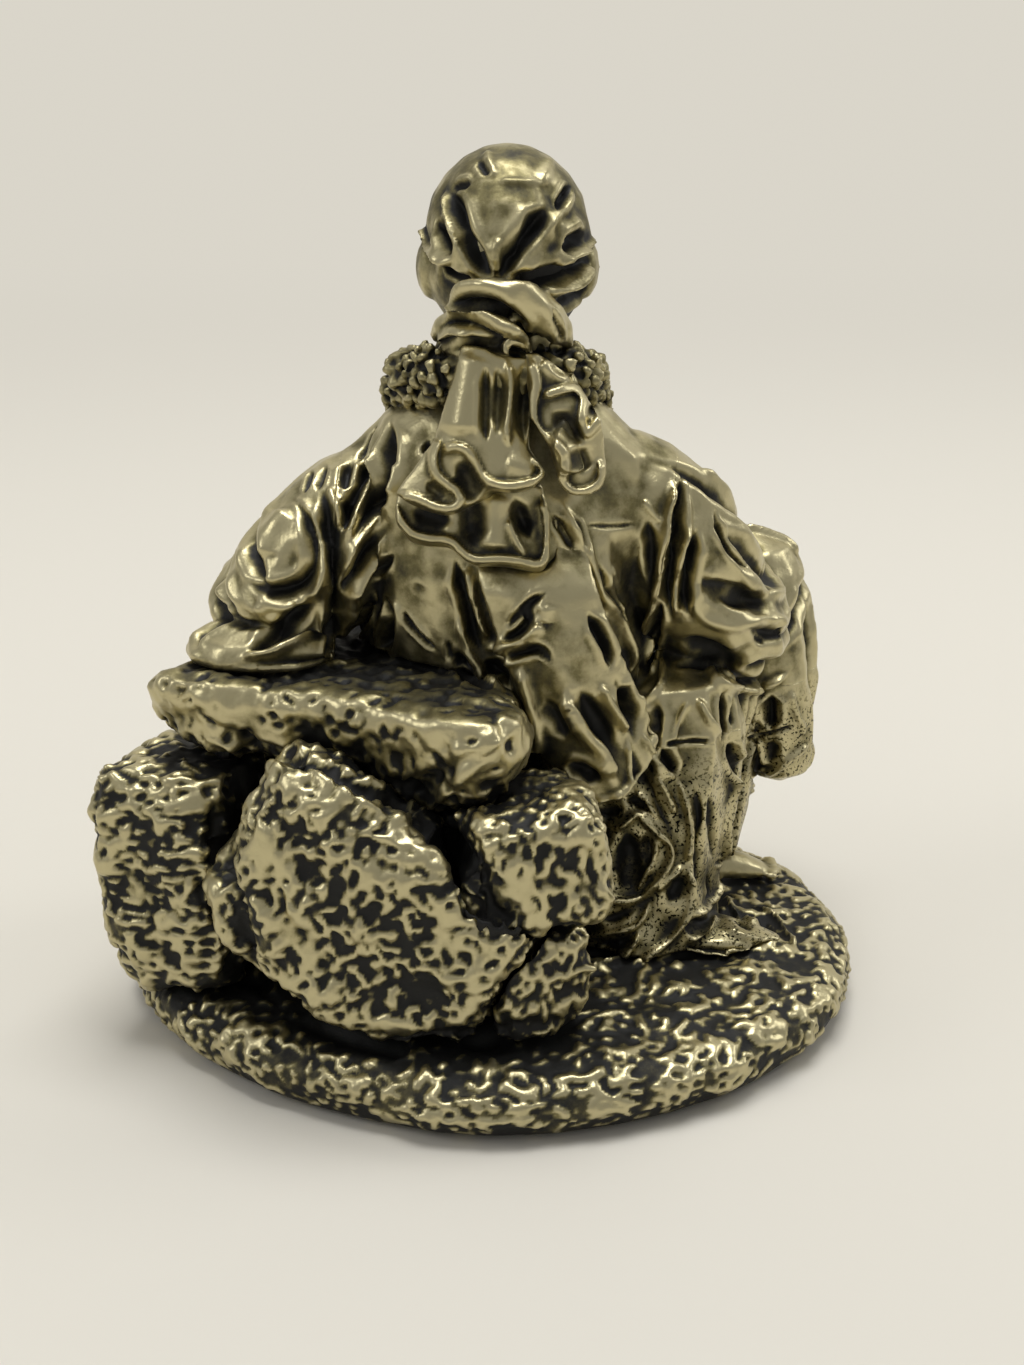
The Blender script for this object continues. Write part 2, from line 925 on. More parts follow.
@dataclass(frozen=True)
class AntiqueBrass:
    """Cast brass, black in its hollows and bright where it stands out, with pits up to a height in metres."""

    name: str
    tarnish: bpy.types.NodeTree
    bright: Colour = (0.55, 0.49, 0.29, 1)
    dull: Colour = (0.225, 0.198, 0.098, 1)
    black: Colour = (0.006, 0.006, 0.005, 1)
    mottle: float = 1.5
    mottle_scale: float = 260.0
    pits: float = 0.0
    pits_end: float = 0.033
    pits_fade: float = 0.005

    def make(self) -> bpy.types.Material:
        """Builds the material.

        Returns:
            The material.
        """
        finish = Finish(self.name)
        worn = finish.add("ShaderNodeGroup", node_tree=self.tarnish)
        worn.inputs["Mottle"].default_value = self.mottle
        worn.inputs["Mottle Scale"].default_value = self.mottle_scale
        grain, mask = worn.outputs["Grain"], worn.outputs["Mask"]
        pitted = finish.mapped(grain, From_Min=0.39, From_Max=0.45, To_Min=1.0, To_Max=0.0)
        ends = {"From_Min": self.pits_end - self.pits_fade, "From_Max": self.pits_end}
        low = finish.mapped(finish.axis("Z"), **ends, To_Min=self.pits, To_Max=0.0)
        dark = finish.add("ShaderNodeMath", operation="MULTIPLY_ADD", use_clamp=True)
        for index, value in enumerate((pitted, low, mask)):
            finish.join(value, dark.inputs[index])
        finish.coloured(dark.outputs["Value"], {0.0: self.bright, 0.5: self.dull, 1.0: self.black})
        metal = finish.mapped(mask, From_Min=0.6, From_Max=1.0, To_Min=1.0, To_Max=0.3)
        finish.join(metal, finish.shader.inputs["Metallic"])
        sheen = finish.mapped(mask, From_Min=0.0, From_Max=1.0, To_Min=0.34, To_Max=0.6)
        finish.join(sheen, finish.shader.inputs["Roughness"])
        finish.bumped(grain, 0.25, 0.00012)
        return finish.material


@dataclass(frozen=True)
class Plain:
    """A finish of one colour with a fine grain: felt, or the steel of screws and pins."""

    name: str
    colour: Colour
    metallic: float
    roughness: float
    grain: float
    scale: float
    shadow: float = 0.6
    sheen: float = 0.85

    def make(self) -> bpy.types.Material:
        """Builds the material.

        Returns:
            The material.
        """
        finish = Finish(self.name)
        finish.shader.inputs["Metallic"].default_value = self.metallic
        where = finish.add("ShaderNodeTexCoord")
        noise = finish.add("ShaderNodeTexNoise", Scale=self.scale, Detail=4.0)
        finish.join(where.outputs["Object"], noise.inputs["Vector"])
        grain = noise.outputs["Fac"]
        darker = tuple(c * self.shadow for c in self.colour[:3]) + (1,)
        finish.coloured(grain, {0.3: darker, 0.7: self.colour})
        rough = finish.mapped(grain, To_Min=self.roughness * self.sheen, To_Max=self.roughness)
        finish.join(rough, finish.shader.inputs["Roughness"])
        finish.bumped(grain, self.grain, 0.0002)
        return finish.material


class Finishes:
    """All the materials of the statue."""

    def __init__(self) -> None:
        """Makes each material once."""
        tarnish = tarnish_group()
        self.cloth = AntiqueBrass("cloth brass", tarnish).make()
        self.pitted_cloth = AntiqueBrass("pitted cloth brass", tarnish, pits=0.8).make()
        self.skin = AntiqueBrass("skin brass", tarnish, mottle=1.0).make()
        self.stone = AntiqueBrass("stone brass", tarnish, mottle=0.9, mottle_scale=420.0).make()
        self.felt = Plain("wool felt", (0.018, 0.030, 0.024, 1), 0.0, 0.95, 0.8, 2400.0).make()
        self.steel = Plain("screw steel", (0.52, 0.53, 0.54, 1), 1.0, 0.4, 0.1, 1800.0).make()


def dress(piece: bpy.types.Object, finish: bpy.types.Material, nodes: list[str]) -> None:
    """Gives a finished piece its material, its body and the CAD nodes that it stands for.

    Args:
        piece: The piece.
        finish: The material.
        nodes: The CAD nodes.
    """
    piece.data.materials.clear()
    piece.data.materials.append(finish)
    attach(piece, BODY)
    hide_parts(*nodes)
    log.info("%s: %d vertices, stands for %s", piece.name, len(piece.data.vertices), ", ".join(nodes))


@dataclass(frozen=True)
class Tarnish:
    """How the dark gathers: weights of fine, middle and broad hollows, of closed-in space and of strokes."""

    fine: float = 4.5
    middle: float = 2.6
    broad: float = 1.0
    space: float = 2.9
    open_space: float = 0.33
    base: float = 0.46
    cloud: float = 0.42
    cloud_size: float = 7.0
    pressed: float = 1.15
    pressed_most: float = 1.4
    raised: float = 0.85
    raised_most: float = 1.0
    gain: float = 0.7
    span: float = 0.55
    seed: int = 5

    def over(self, skin: Skin, shade: Shade, cell: float) -> np.ndarray:
        """Works out the tarnish of a surface.

        Args:
            skin: The surface.
            shade: The space that the castings fill.
            cell: The size of the surface's cells, in millimetres.

        Returns:
            The tarnish of each vertex, from 0 to 1.
        """
        broad, worked = skin.hollow(steps_for(90, cell)), skin.kept("worked")
        dark = self.cloud * Waves(self.cloud_size, self.seed).over(skin.at)
        dark += self.fine * skin.hollow(max(2, steps_for(3, cell)))
        dark += self.middle * skin.hollow(steps_for(18, cell))
        dark += self.broad * (broad - np.median(broad))
        dark += self.space * (shade.before(skin) - self.open_space)
        dark += self.pressed * np.clip(-worked, 0, self.pressed_most)
        dark -= self.raised * np.clip(worked, 0, self.raised_most)
        return self.base + self.span * np.tanh(self.gain * dark)


# Rocks.


@dataclass(frozen=True)
class Stone:
    """One rock and how its skin is worked: angular lumps, and worm-like plateaus between pits."""

    node: str
    cell: float = 0.36
    lumps: float = 0.15
    lump_size: float = 9.0
    lump_steps: float = 2.2
    worm: float = 2.3
    depth: float = 0.62
    cover: float = 0.0
    shaded: float = 0.0
    stretch: tuple[float, float, float] = (1.0, 1.0, 1.0)
    seed: int = 1
    flat_below: float = -1.0
    flat_fade: float = 1.2
    # The worms: how far they bend, and the share and the size, in worms, of what is added up.
    bend: float = 0.25
    bend_size: float = 2.5
    fine_share: float = 0.8
    coarse_share: float = 0.45
    coarse_size: float = 2.1
    patch_share: float = 0.4
    patch_size: float = 5.0
    # What is rubbed off them: shares of the closed-in space and of what stands out.
    closed_share: float = 1.6
    closed_usual: float = 0.3
    raised_share: float = 0.25
    # How far below the plateaus' top the untouched surface lies, and how much their crowns add.
    sunk: float = 0.8
    crown: float = 0.35

    def cast(self) -> bpy.types.Object:
        """Makes the rock's even casting with its lumps.

        Returns:
            The casting.
        """
        piece = casting(self.node + "_cast", [self.node], self.cell)
        skin = Skin(piece)
        skin.relax(steps_for(10, self.cell))
        skin.move(self.inside(skin) * self.lumps * self.crags(skin.at))
        return piece

    def inside(self, skin: Skin) -> np.ndarray:
        """Returns 1 where the skin may be worked, and 0 near a flat underside."""
        return softstep(skin.at[:, 2], self.flat_below, self.flat_below + self.flat_fade)

    def crags(self, at: np.ndarray) -> np.ndarray:
        """Makes broken, flat-sided lumps: broad and small waves, partly raised in steps.

        Args:
            at: The places, in millimetres.

        Returns:
            A height of about -1 to 1 at each place.
        """
        broad = Waves(self.lump_size, self.seed + 40).over(at)
        small = Waves(self.lump_size * 0.45, self.seed + 41).over(at)
        stepped = np.round(broad * self.lump_steps + 0.5 * small) / self.lump_steps
        return stepped * 0.35 + broad * 0.45 + small * 0.3

    def work(self, skin: Skin, shade: Shade) -> np.ndarray:
        """Works the pitted skin into the casting.

        What stands out is rubbed smooth, with small pits, and what lies back keeps only grains and worms.

        Args:
            skin: The surface.
            shade: The space that the castings fill.

        Returns:
            How deep in a pit each vertex lies, from 0 to 1.
        """
        aside = [Waves(self.worm * self.bend_size, self.seed + k).over(skin.at) for k in (11, 12, 13)]
        bent = skin.at + self.bend * np.stack(aside, 1)
        fine = Waves(self.worm, self.seed, count=40, stretch=self.stretch)
        coarse = Waves(self.worm * self.coarse_size, self.seed + 5, count=30, stretch=self.stretch)
        worms = self.fine_share * fine.over(bent) + self.coarse_share * coarse.over(bent)
        patches = Waves(self.worm * self.patch_size, self.seed + 7).over(skin.at)
        closed = np.clip(shade.before(skin) - self.closed_usual, -0.2, 0.5)
        raised = np.tanh(skin.kept("worked") - 1.5 * skin.hollow(steps_for(60, self.cell)))
        rubbed = self.patch_share * patches - self.closed_share * closed + self.raised_share * raised
        worms += self.cover + rubbed
        plateau = softstep(worms, -0.5, 0.5)
        crown = self.crown * softstep(worms, 0, 1.5)
        skin.move(self.inside(skin) * self.depth * (plateau - self.sunk + crown))
        skin.smooth(3)
        return 1 - softstep(worms, -0.5, 0.35)


@dataclass
class Rocks:
    """The ground and the rocks on it."""

    stones: tuple[Stone, ...] = (
        Stone("ground", lumps=0.12, lump_size=10, worm=1.3, depth=0.4, cover=-0.42,
              stretch=(1.35, 1.35, 0.8), seed=3, flat_below=1.2),
        Stone("slab_rock", lumps=0.3, lump_size=6, worm=1.7, depth=0.4, cover=0.4, shaded=0.6, seed=11),
        Stone("pillar_rock", lumps=0.4, worm=1.4, depth=0.5, cover=-0.25, stretch=(1.3, 1.3, 0.9), seed=17),
        Stone("main_boulder", lumps=0.45, lump_size=9, worm=1.5, depth=0.52, cover=-0.12, seed=23),
        Stone("corner_boulder", lumps=0.35, lump_size=7, worm=1.45, depth=0.45, cover=-0.1,
              stretch=(0.9, 0.9, 1.3), seed=29),
        Stone("foot_stone", lumps=0.2, lump_size=7, worm=1.4, depth=0.42, cover=-0.25, seed=31),
        Stone("front_boulder", lumps=0.4, worm=1.5, depth=0.5, cover=-0.2, seed=37),
    )
    # How dark a pit's bottom and the darkest place are, and the slopes between which a shaded top darkens.
    pit_dark: float = 0.85
    darkest: float = 1.2
    top_from: float = 0.7
    top_full: float = 0.92

    def __post_init__(self) -> None:
        """Casts each rock."""
        self.pieces = {stone.node: stone.cast() for stone in self.stones}

    def finish(self, sculptor: Sculptor, shade: Shade, finishes: Finishes) -> None:
        """Works and dresses each rock.

        Args:
            sculptor: The laid strokes.
            shade: The space that the castings fill.
            finishes: The materials.
        """
        for stone in self.stones:
            piece = self.pieces[stone.node]
            skin = Skin(piece)
            sculptor.work(skin)
            pits = stone.work(skin, shade)
            gathered = Tarnish(fine=1.5, middle=1.4, broad=1.1, space=3.6, base=0.36, seed=stone.seed)
            dark = gathered.over(skin, shade, stone.cell) + self.pit_dark * pits
            dark += stone.shaded * softstep(skin.out[:, 2], self.top_from, self.top_full)
            skin.write("tarnish", np.clip(dark, 0, self.darkest))
            dress(piece, finishes.stone, [stone.node])


# Robe.


@dataclass(frozen=True)
class Saw:
    """A flat cut through a casting: a point on it, in millimetres, and the way that the kept side lies."""

    at: tuple[float, float, float]
    keep: tuple[float, float, float]

    def other(self) -> "Saw":
        """Returns the same cut with the other side kept."""
        return Saw(self.at, tuple(-v for v in self.keep))


WAIST = Saw((0, 0, 33), (0, 0, 1))
LEFT_SHOULDER = Saw((-17.6, 0, 58), (-0.9986, 0, 0.0523))
RIGHT_SHOULDER = Saw((19.2, 0, 56), (0.9877, 0, -0.1564))
RIGHT_HIP = Saw((20.5, 9.5, 30), (0.6691, 0.7431, 0))
LEFT_HIP = Saw((-8, 13, 14), (-0.788, 0.6157, 0))


def sawn(source: bpy.types.Object, name: str, cuts: list[Saw]) -> bpy.types.Object:
    """Cuts a part out of a casting and closes it where it was cut.

    Args:
        source: The whole casting.
        name: The name of the part.
        cuts: The cuts, all of which keep the part.

    Returns:
        The part.
    """
    form = bmesh.new()
    form.from_mesh(source.data)
    for cut in cuts:
        geometry = form.verts[:] + form.edges[:] + form.faces[:]
        place, way = Vector(cut.at) * MM, -Vector(cut.keep)
        made = bmesh.ops.bisect_plane(
            form, geom=geometry, dist=1e-7, plane_co=place, plane_no=way, clear_outer=True
        )
        rim = [e for e in made["geom_cut"] if isinstance(e, bmesh.types.BMEdge) and e.is_boundary]
        bmesh.ops.holes_fill(form, edges=rim, sides=0)
    bmesh.ops.triangulate(form, faces=[f for f in form.faces if len(f.verts) > 4])
    mesh = bpy.data.meshes.new(name)
    form.to_mesh(mesh)
    form.free()
    return link(bpy.data.objects.new(name, mesh))


ROBE_SECTIONS = {
    "torso_robe": [WAIST, LEFT_SHOULDER.other(), RIGHT_SHOULDER.other()],
    "left_sleeve": [WAIST, LEFT_SHOULDER],
    "right_sleeve": [WAIST, RIGHT_SHOULDER],
    "robe_skirt": [WAIST.other(), RIGHT_HIP.other(), LEFT_HIP.other()],
    "right_leg_robe": [WAIST.other(), RIGHT_HIP],
    "left_leg_robe": [WAIST.other(), LEFT_HIP],
}


@dataclass
class Robe:
    """The robe: torso, sleeves, skirt and the cloth over both legs, and the sash down its back."""

    cell: float = 0.3
    grow: float = 0.2
    sash_grow: float = 0.1
    relaxed: int = 4
    smoothed: int = 105
    rough: float = 0.05
    rough_size: float = 2.6
    pitted: tuple[str, ...] = ("robe_skirt", "right_leg_robe")
    # How far forward the top of the sash is tucked, and how far below its top that ends and is full.
    tuck_deep: float = 3.2
    tuck_end: float = 10.0
    tuck_full: float = 4.0

    def __post_init__(self) -> None:
        """Casts the robe and the sash."""
        self.robe = casting("robe", list(ROBE_SECTIONS), self.cell, self.grow)
        self.sash = casting("back_sash_cast", ["back_sash"], self.cell, self.sash_grow)
        for piece in (self.robe, self.sash):
            Skin(piece).relax(self.relaxed)
            Skin(piece).smooth(self.smoothed)
        self.tuck(Skin(self.sash))

    def tuck(self, skin: Skin) -> None:
        """Pushes the top of the sash forward, under the scarf's tails.

        Args:
            skin: The surface of the sash.
        """
        top = skin.at[:, 2].max()
        skin.at[:, 1] += self.tuck_deep * softstep(skin.at[:, 2], top - self.tuck_end, top - self.tuck_full)
        skin.refresh()

    def finish(self, sculptor: Sculptor, shade: Shade, finishes: Finishes) -> None:
        """Works, cuts and dresses the robe and the sash.

        Args:
            sculptor: The laid strokes.
            shade: The space that the castings fill.
            finishes: The materials.
        """
        for piece in (self.robe, self.sash):
            skin = Skin(piece)
            sculptor.work(skin)
            skin.smooth(2)
            skin.move(self.rough * Waves(self.rough_size, 3).over(skin.at))
            skin.write("tarnish", Tarnish().over(skin, shade, self.cell))
        for node, cuts in ROBE_SECTIONS.items():
            finish = finishes.pitted_cloth if node in self.pitted else finishes.cloth
            dress(sawn(self.robe, node + "_cast", cuts), finish, [node])
        bpy.data.objects.remove(self.robe)
        dress(self.sash, finishes.cloth, ["back_sash"])


# Head, scarf, garland, hands and feet.


@dataclass(frozen=True)
class Hanging:
    """Hanging cloth, ruled from its top by its middle to its ruffled hem, all from the middle of the head."""

    node: str
    top: Points
    middle: Points
    hem: Points
    strokes: list[Stroke]
    base: float = Tarnish.base
    thick: float = 3.2
    across: int = 90
    down: int = 34
    cell: float = 0.26

    @staticmethod
    def at(line: Points, shares: np.ndarray) -> np.ndarray:
        """Finds points along a line.

        Args:
            line: The line's own points.
            shares: The shares of its length.

        Returns:
            The point at each share.
        """
        points = smooth_line(tuple(line), 0.15) + HEAD
        run = lengths_along(points)
        return np.stack([np.interp(shares * run[-1], run, points[:, k]) for k in range(3)], 1)

    def make(self) -> bpy.types.Object:
        """Makes the cloth as an even casting with a rolled hem.

        Returns:
            The casting.
        """
        form = bmesh.new()
        bmesh.ops.create_grid(form, x_segments=self.across, y_segments=self.down, size=0.5)
        shares = np.array([(v.co.x + 0.5, 0.5 - v.co.y) for v in form.verts])
        above, middle, below = (self.at(line, shares[:, 0]) for line in (self.top, self.middle, self.hem))
        upper, lower = np.clip(shares[:, 1:] * 2, 0, 1), np.clip(shares[:, 1:] * 2 - 1, 0, 1)
        places = above + (middle - above) * upper + (below - middle) * lower
        for vert, place in zip(form.verts, places):
            vert.co = Vector(place) * MM
        bmesh.ops.recalc_face_normals(form, faces=form.faces)
        bmesh.ops.solidify(form, geom=form.faces[:], thickness=self.thick * MM)
        bmesh.ops.recalc_face_normals(form, faces=form.faces)
        piece = evened(self.node + "_cast", form, self.cell)
        skin = Skin(piece)
        skin.relax(12)
        Sculptor.press(skin, self.strokes)
        skin.smooth(2)
        return piece


TAILS = [
    Hanging(
        "scarf_tail_left",
        base=0.27,
        top=[(-5, -12.4, -8), (-3, -13.4, -8), (-0.4, -13.6, -8.9), (2.6, -13, -9.3)],
        middle=[(-8, -13.6, -17.9), (-5.9, -15.8, -17.5), (-2.8, -16.4, -17.3), (0.2, -16.4, -17.8),
                (2.5, -15.6, -18.4)],
        hem=[(-12.3, -14.2, -23.7), (-10.8, -15.2, -24.6), (-8.2, -16.2, -25.5), (-6, -16.8, -25.6),
             (-4.1, -17.2, -24.3),
             (-2.3, -17.8, -22.5), (0.2, -18, -22.7), (2.7, -17.6, -22.2), (4.3, -16.6, -20.9)],
        strokes=[
            band(0.5, 1.1, (439, 437), (433, 455), (435, 472), (445, 483), (456, 490), (461, 498), (457, 506),
                 (446, 509), (433, 506), (420, 500), (407, 496), (396, 494)),
            band(0.5, 1.0, (440, 451), (455, 447), (468, 452), (475, 465), (482, 477), (493, 484), (508, 486),
                 (525, 484), (540, 479), (545, 471), (541, 463), (531, 457)),
            ridge(2.4, 0.8, (467, 348), (463, 380), (458, 410), (455, 438)),
            crease(0.5, 1.2, (485, 362), (486, 395), (485, 425), (487, 446)),
            ridge(0.5, 0.8, (506, 356), (511, 380), (510, 405), (507, 428), (510, 450)),
            well(0.85, 1.5, (497, 364), (498, 385), (496, 410), (496, 440)),
            well(0.85, 1.5, (523, 362), (524, 390), (522, 420), (526, 447)),
            well(1.5, 1.5, (452, 462), (463, 470), (472, 485), (474, 508)),
            well(0.7, 0.9, (424, 481), (434, 490), (447, 498)),
            ridge(1.3, 0.5, (505, 462), (522, 466), (536, 470)),
        ],
    ),
    Hanging(
        "scarf_tail_right",
        base=0.34,
        top=[(1.7, -13.2, -8.8), (3.3, -13.8, -8.7), (5.3, -13, -10), (7.8, -11.4, -12.3)],
        middle=[(2.2, -15.6, -15.4), (4, -16.4, -15.9), (6.7, -16.4, -15.4), (10.2, -14.6, -15.6)],
        hem=[(5, -16.2, -19.1), (5.1, -16.6, -21.6), (6.3, -17, -23.1), (8, -16.8, -23.5), (10, -15.8, -23.1),
             (10.9, -14.4, -21.7)],
        strokes=[
            band(0.55, 1.1, (526, 356), (533, 370), (536, 385), (533, 400), (532, 415), (536, 429),
                 (546, 438), (558, 445), (565, 456), (565, 469), (562, 481), (568, 490), (580, 493),
                 (593, 489), (602, 480), (603, 469), (596, 458)),
            band(0.5, 1.0, (541, 399), (551, 393), (565, 389), (577, 388), (584, 397), (583, 411), (582, 424),
                 (587, 433), (595, 426), (601, 415), (597, 402), (588, 389)),
            well(1.4, 1.4, (549, 410), (560, 420), (572, 431), (584, 446)),
            well(1.3, 1.4, (573, 446), (579, 460), (583, 476)),
            well(0.5, 0.9, (591, 403), (593, 418)),
            ridge(0.8, 0.6, (540, 361), (555, 372), (571, 382)),
            crease(0.3, 0.6, (550, 365), (566, 376)),
        ],
    ),
    Hanging(
        "scarf_tail_lower",
        top=[(-10.8, -13.2, -22), (-6, -14.6, -22.9), (-1.1, -15, -22.9), (3.8, -13.8, -22.7)],
        middle=[(-12.2, -13.5, -24.5), (-6.2, -15, -26), (-1.4, -15.5, -26.4), (4.8, -14, -26.2)],
        hem=[(-12.2, -14.6, -26.5), (-10.8, -15.4, -28), (-8.9, -15.6, -29.2), (-6.3, -16, -29.3),
             (-4.6, -16.4, -30.7),
             (-3.3, -16.8, -31.2), (-0.3, -17, -31.1), (2.3, -16.8, -31.6), (4.1, -16, -31.9),
             (4.9, -15, -30.4)],
        strokes=[
            band(0.5, 1.1, (395, 500), (396, 512), (403, 525), (413, 534), (426, 538), (440, 539), (452, 542),
                 (461, 551), (470, 558), (482, 560), (500, 559), (520, 561), (538, 564), (546, 556),
                 (549, 535), (547, 512), (541, 494)),
            well(1.3, 1.0, (410, 508), (424, 514), (440, 519), (456, 521)),
            well(1.5, 1.5, (464, 488), (470, 510), (472, 530), (477, 552)),
            ridge(1.4, 0.8, (496, 492), (495, 520), (492, 553)),
            ridge(0.5, 0.8, (508, 518), (516, 540), (526, 557)),
            well(0.9, 1.4, (513, 496), (521, 517), (531, 540)),
            ridge(0.5, 0.5, (539, 500), (542, 525), (544, 548)),
        ],
    ),
]


@dataclass(frozen=True)
class Covering:
    """The head or one part of the scarf that is cast from its CAD node."""

    node: str
    cell: float
    smoothed: int
    base: float = Tarnish.base
    relaxed: int = 4

    def cast(self) -> bpy.types.Object:
        """Makes its even casting.

        Returns:
            The casting.
        """
        piece = casting(self.node + "_cast", [self.node], self.cell)
        Skin(piece).relax(self.relaxed)
        Skin(piece).smooth(self.smoothed)
        return piece


@dataclass
class Head:
    """The head with its calm, plain face, and the scarf tied round it."""

    parts: tuple[Covering, ...] = (
        Covering("head", 0.2, 30),
        Covering("headscarf", 0.28, 80, 0.8),
        Covering("scarf_roll", 0.28, 80),
    )

    def __post_init__(self) -> None:
        """Casts the head and the parts of the scarf."""
        self.pieces = {part.node: part.cast() for part in self.parts}
        for tail in TAILS:
            self.pieces[tail.node] = tail.make()

    def finish(self, sculptor: Sculptor, shade: Shade, finishes: Finishes) -> None:
        """Works and dresses the head and the scarf, whose tails are already worked.

        Args:
            sculptor: The laid strokes.
            shade: The space that the castings fill.
            finishes: The materials.
        """
        for part in (*self.parts, *TAILS):
            piece = self.pieces[part.node]
            skin = Skin(piece)
            if isinstance(part, Covering):
                sculptor.work(skin)
                skin.smooth(2)
            skin.write("tarnish", Tarnish(base=part.base).over(skin, shade, part.cell))
            dress(piece, finishes.skin if part.node == "head" else finishes.cloth, [part.node])


@dataclass(frozen=True)
class Garland:
    """A thick rope of small flower heads round the neck, bare where the scarf's tails cover it."""

    path: Points = field(default_factory=lambda: [
        (-9.2, -1, 74.4), (-3.4, -8.6, 76.2), (6, -8.6, 75.8), (9.6, -1, 73.8), (9.6, 10, 65),
        (5.8, 14.8, 55), (0.6, 16.4, 50.6), (-4.4, 14.8, 55), (-8.6, 10.4, 65), (-9.2, -1, 74.4)])
    core: float = 2.5
    core_lap: float = 1.02
    bud: float = 0.68
    bud_out: float = 0.45
    bud_scatter: float = 0.22
    bud_slide: float = 0.4
    bud_vary: float = 0.25
    pitch: float = 1.3
    around: int = 12
    covered: float = -8.0
    covered_wide: float = 6.5
    rough: float = 0.2
    cell: float = 0.26
    seed: int = 12

    def cast(self) -> bpy.types.Object:
        """Makes the garland as one casting: a core with buds set round it.

        Returns:
            The casting.
        """
        line = smooth_line(tuple(self.path), 0.3)
        run = lengths_along(line)
        form, dice = bmesh.new(), np.random.default_rng(self.seed)
        rows = int(run[-1] / self.pitch)
        for row in range(rows):
            share = (row + 0.5) / rows * run[-1]
            middle = Vector([np.interp(share, run, line[:, k]) for k in range(3)])
            ahead = Vector([np.interp(min(share + 0.5, run[-1]), run, line[:, k]) for k in range(3)])
            forward = (ahead - middle).normalized()
            across = Vector((0, 0.5, 1)).cross(forward).normalized()
            over = forward.cross(across)
            self.ball(form, middle, self.core * self.core_lap, 2)
            for step in range(self.around):
                turn = step + 0.5 * (row % 2) + self.bud_vary * dice.uniform(-1, 1)
                angle = 2 * math.pi * turn / self.around
                reach = self.core + self.bud_out + self.bud_scatter * dice.uniform(-1, 1)
                place = middle + (across * math.cos(angle) + over * math.sin(angle)) * reach
                place += forward * self.bud_slide * dice.uniform(-1, 1)
                if place.y < self.covered and abs(place.x - HEAD[0]) < self.covered_wide:
                    continue
                self.ball(form, place, self.bud * (1 + self.bud_vary * dice.uniform(-1, 1)), 1)
        piece = evened("garland_cast", form, self.cell)
        skin = Skin(piece)
        skin.move(self.rough * Waves(1.5, self.seed).over(skin.at))
        skin.smooth(2)
        return piece

    @staticmethod
    def ball(form: bmesh.types.BMesh, at: Vector, radius: float, detail: int) -> None:
        """Adds one ball to a form, its place and radius in millimetres."""
        made = bmesh.ops.create_icosphere(form, subdivisions=detail, radius=radius * MM)
        bmesh.ops.translate(form, verts=made["verts"], vec=at * MM)


@dataclass
class Limbs:
    """Hands, feet and the garland."""

    cell: float = 0.28
    relaxed: int = 5
    garland_base: float = 0.88
    nodes: tuple[str, ...] = ("left_hand", "right_hand", "left_foot", "right_foot")

    def __post_init__(self) -> None:
        """Casts each piece."""
        self.pieces = {}
        for node in self.nodes:
            self.pieces[node] = casting(node + "_cast", [node], self.cell)
            Skin(self.pieces[node]).relax(self.relaxed)
        self.pieces["garland"] = Garland().cast()

    def finish(self, sculptor: Sculptor, shade: Shade, finishes: Finishes) -> None:
        """Works and dresses each piece.

        Args:
            sculptor: The laid strokes.
            shade: The space that the castings fill.
            finishes: The materials.
        """
        for node, piece in self.pieces.items():
            skin = Skin(piece)
            if node in self.nodes:
                sculptor.work(skin)
            gathered = Tarnish(base=self.garland_base) if node == "garland" else Tarnish()
            skin.write("tarnish", gathered.over(skin, shade, self.cell))
            dress(piece, finishes.skin, [node])


@dataclass(frozen=True)
class Underside:
    """Felt, screws and pins, which keep their CAD shapes."""

    felt: tuple[str, ...] = ("felt_pad",)
    steel: tuple[str, ...] = (
        "figure_screw_rear", "figure_screw_front", "boulder_screw", "pillar_screw", "pillar_pin",
        "front_boulder_pin",
    )

    def finish(self, finishes: Finishes) -> None:
        """Gives each CAD piece its material.

        Args:
            finishes: The materials.
        """
        for names, finish in ((self.felt, finishes.felt), (self.steel, finishes.steel)):
            for name in names:
                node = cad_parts[name]
                node.data.materials.clear()
                node.data.materials.append(finish)


# Studio.


@dataclass(frozen=True)
class Lamp:
    """One soft lamp: its name, its place and size in metres, and its power in watts."""

    name: str
    at: tuple[float, float, float]
    size: float
    power: float


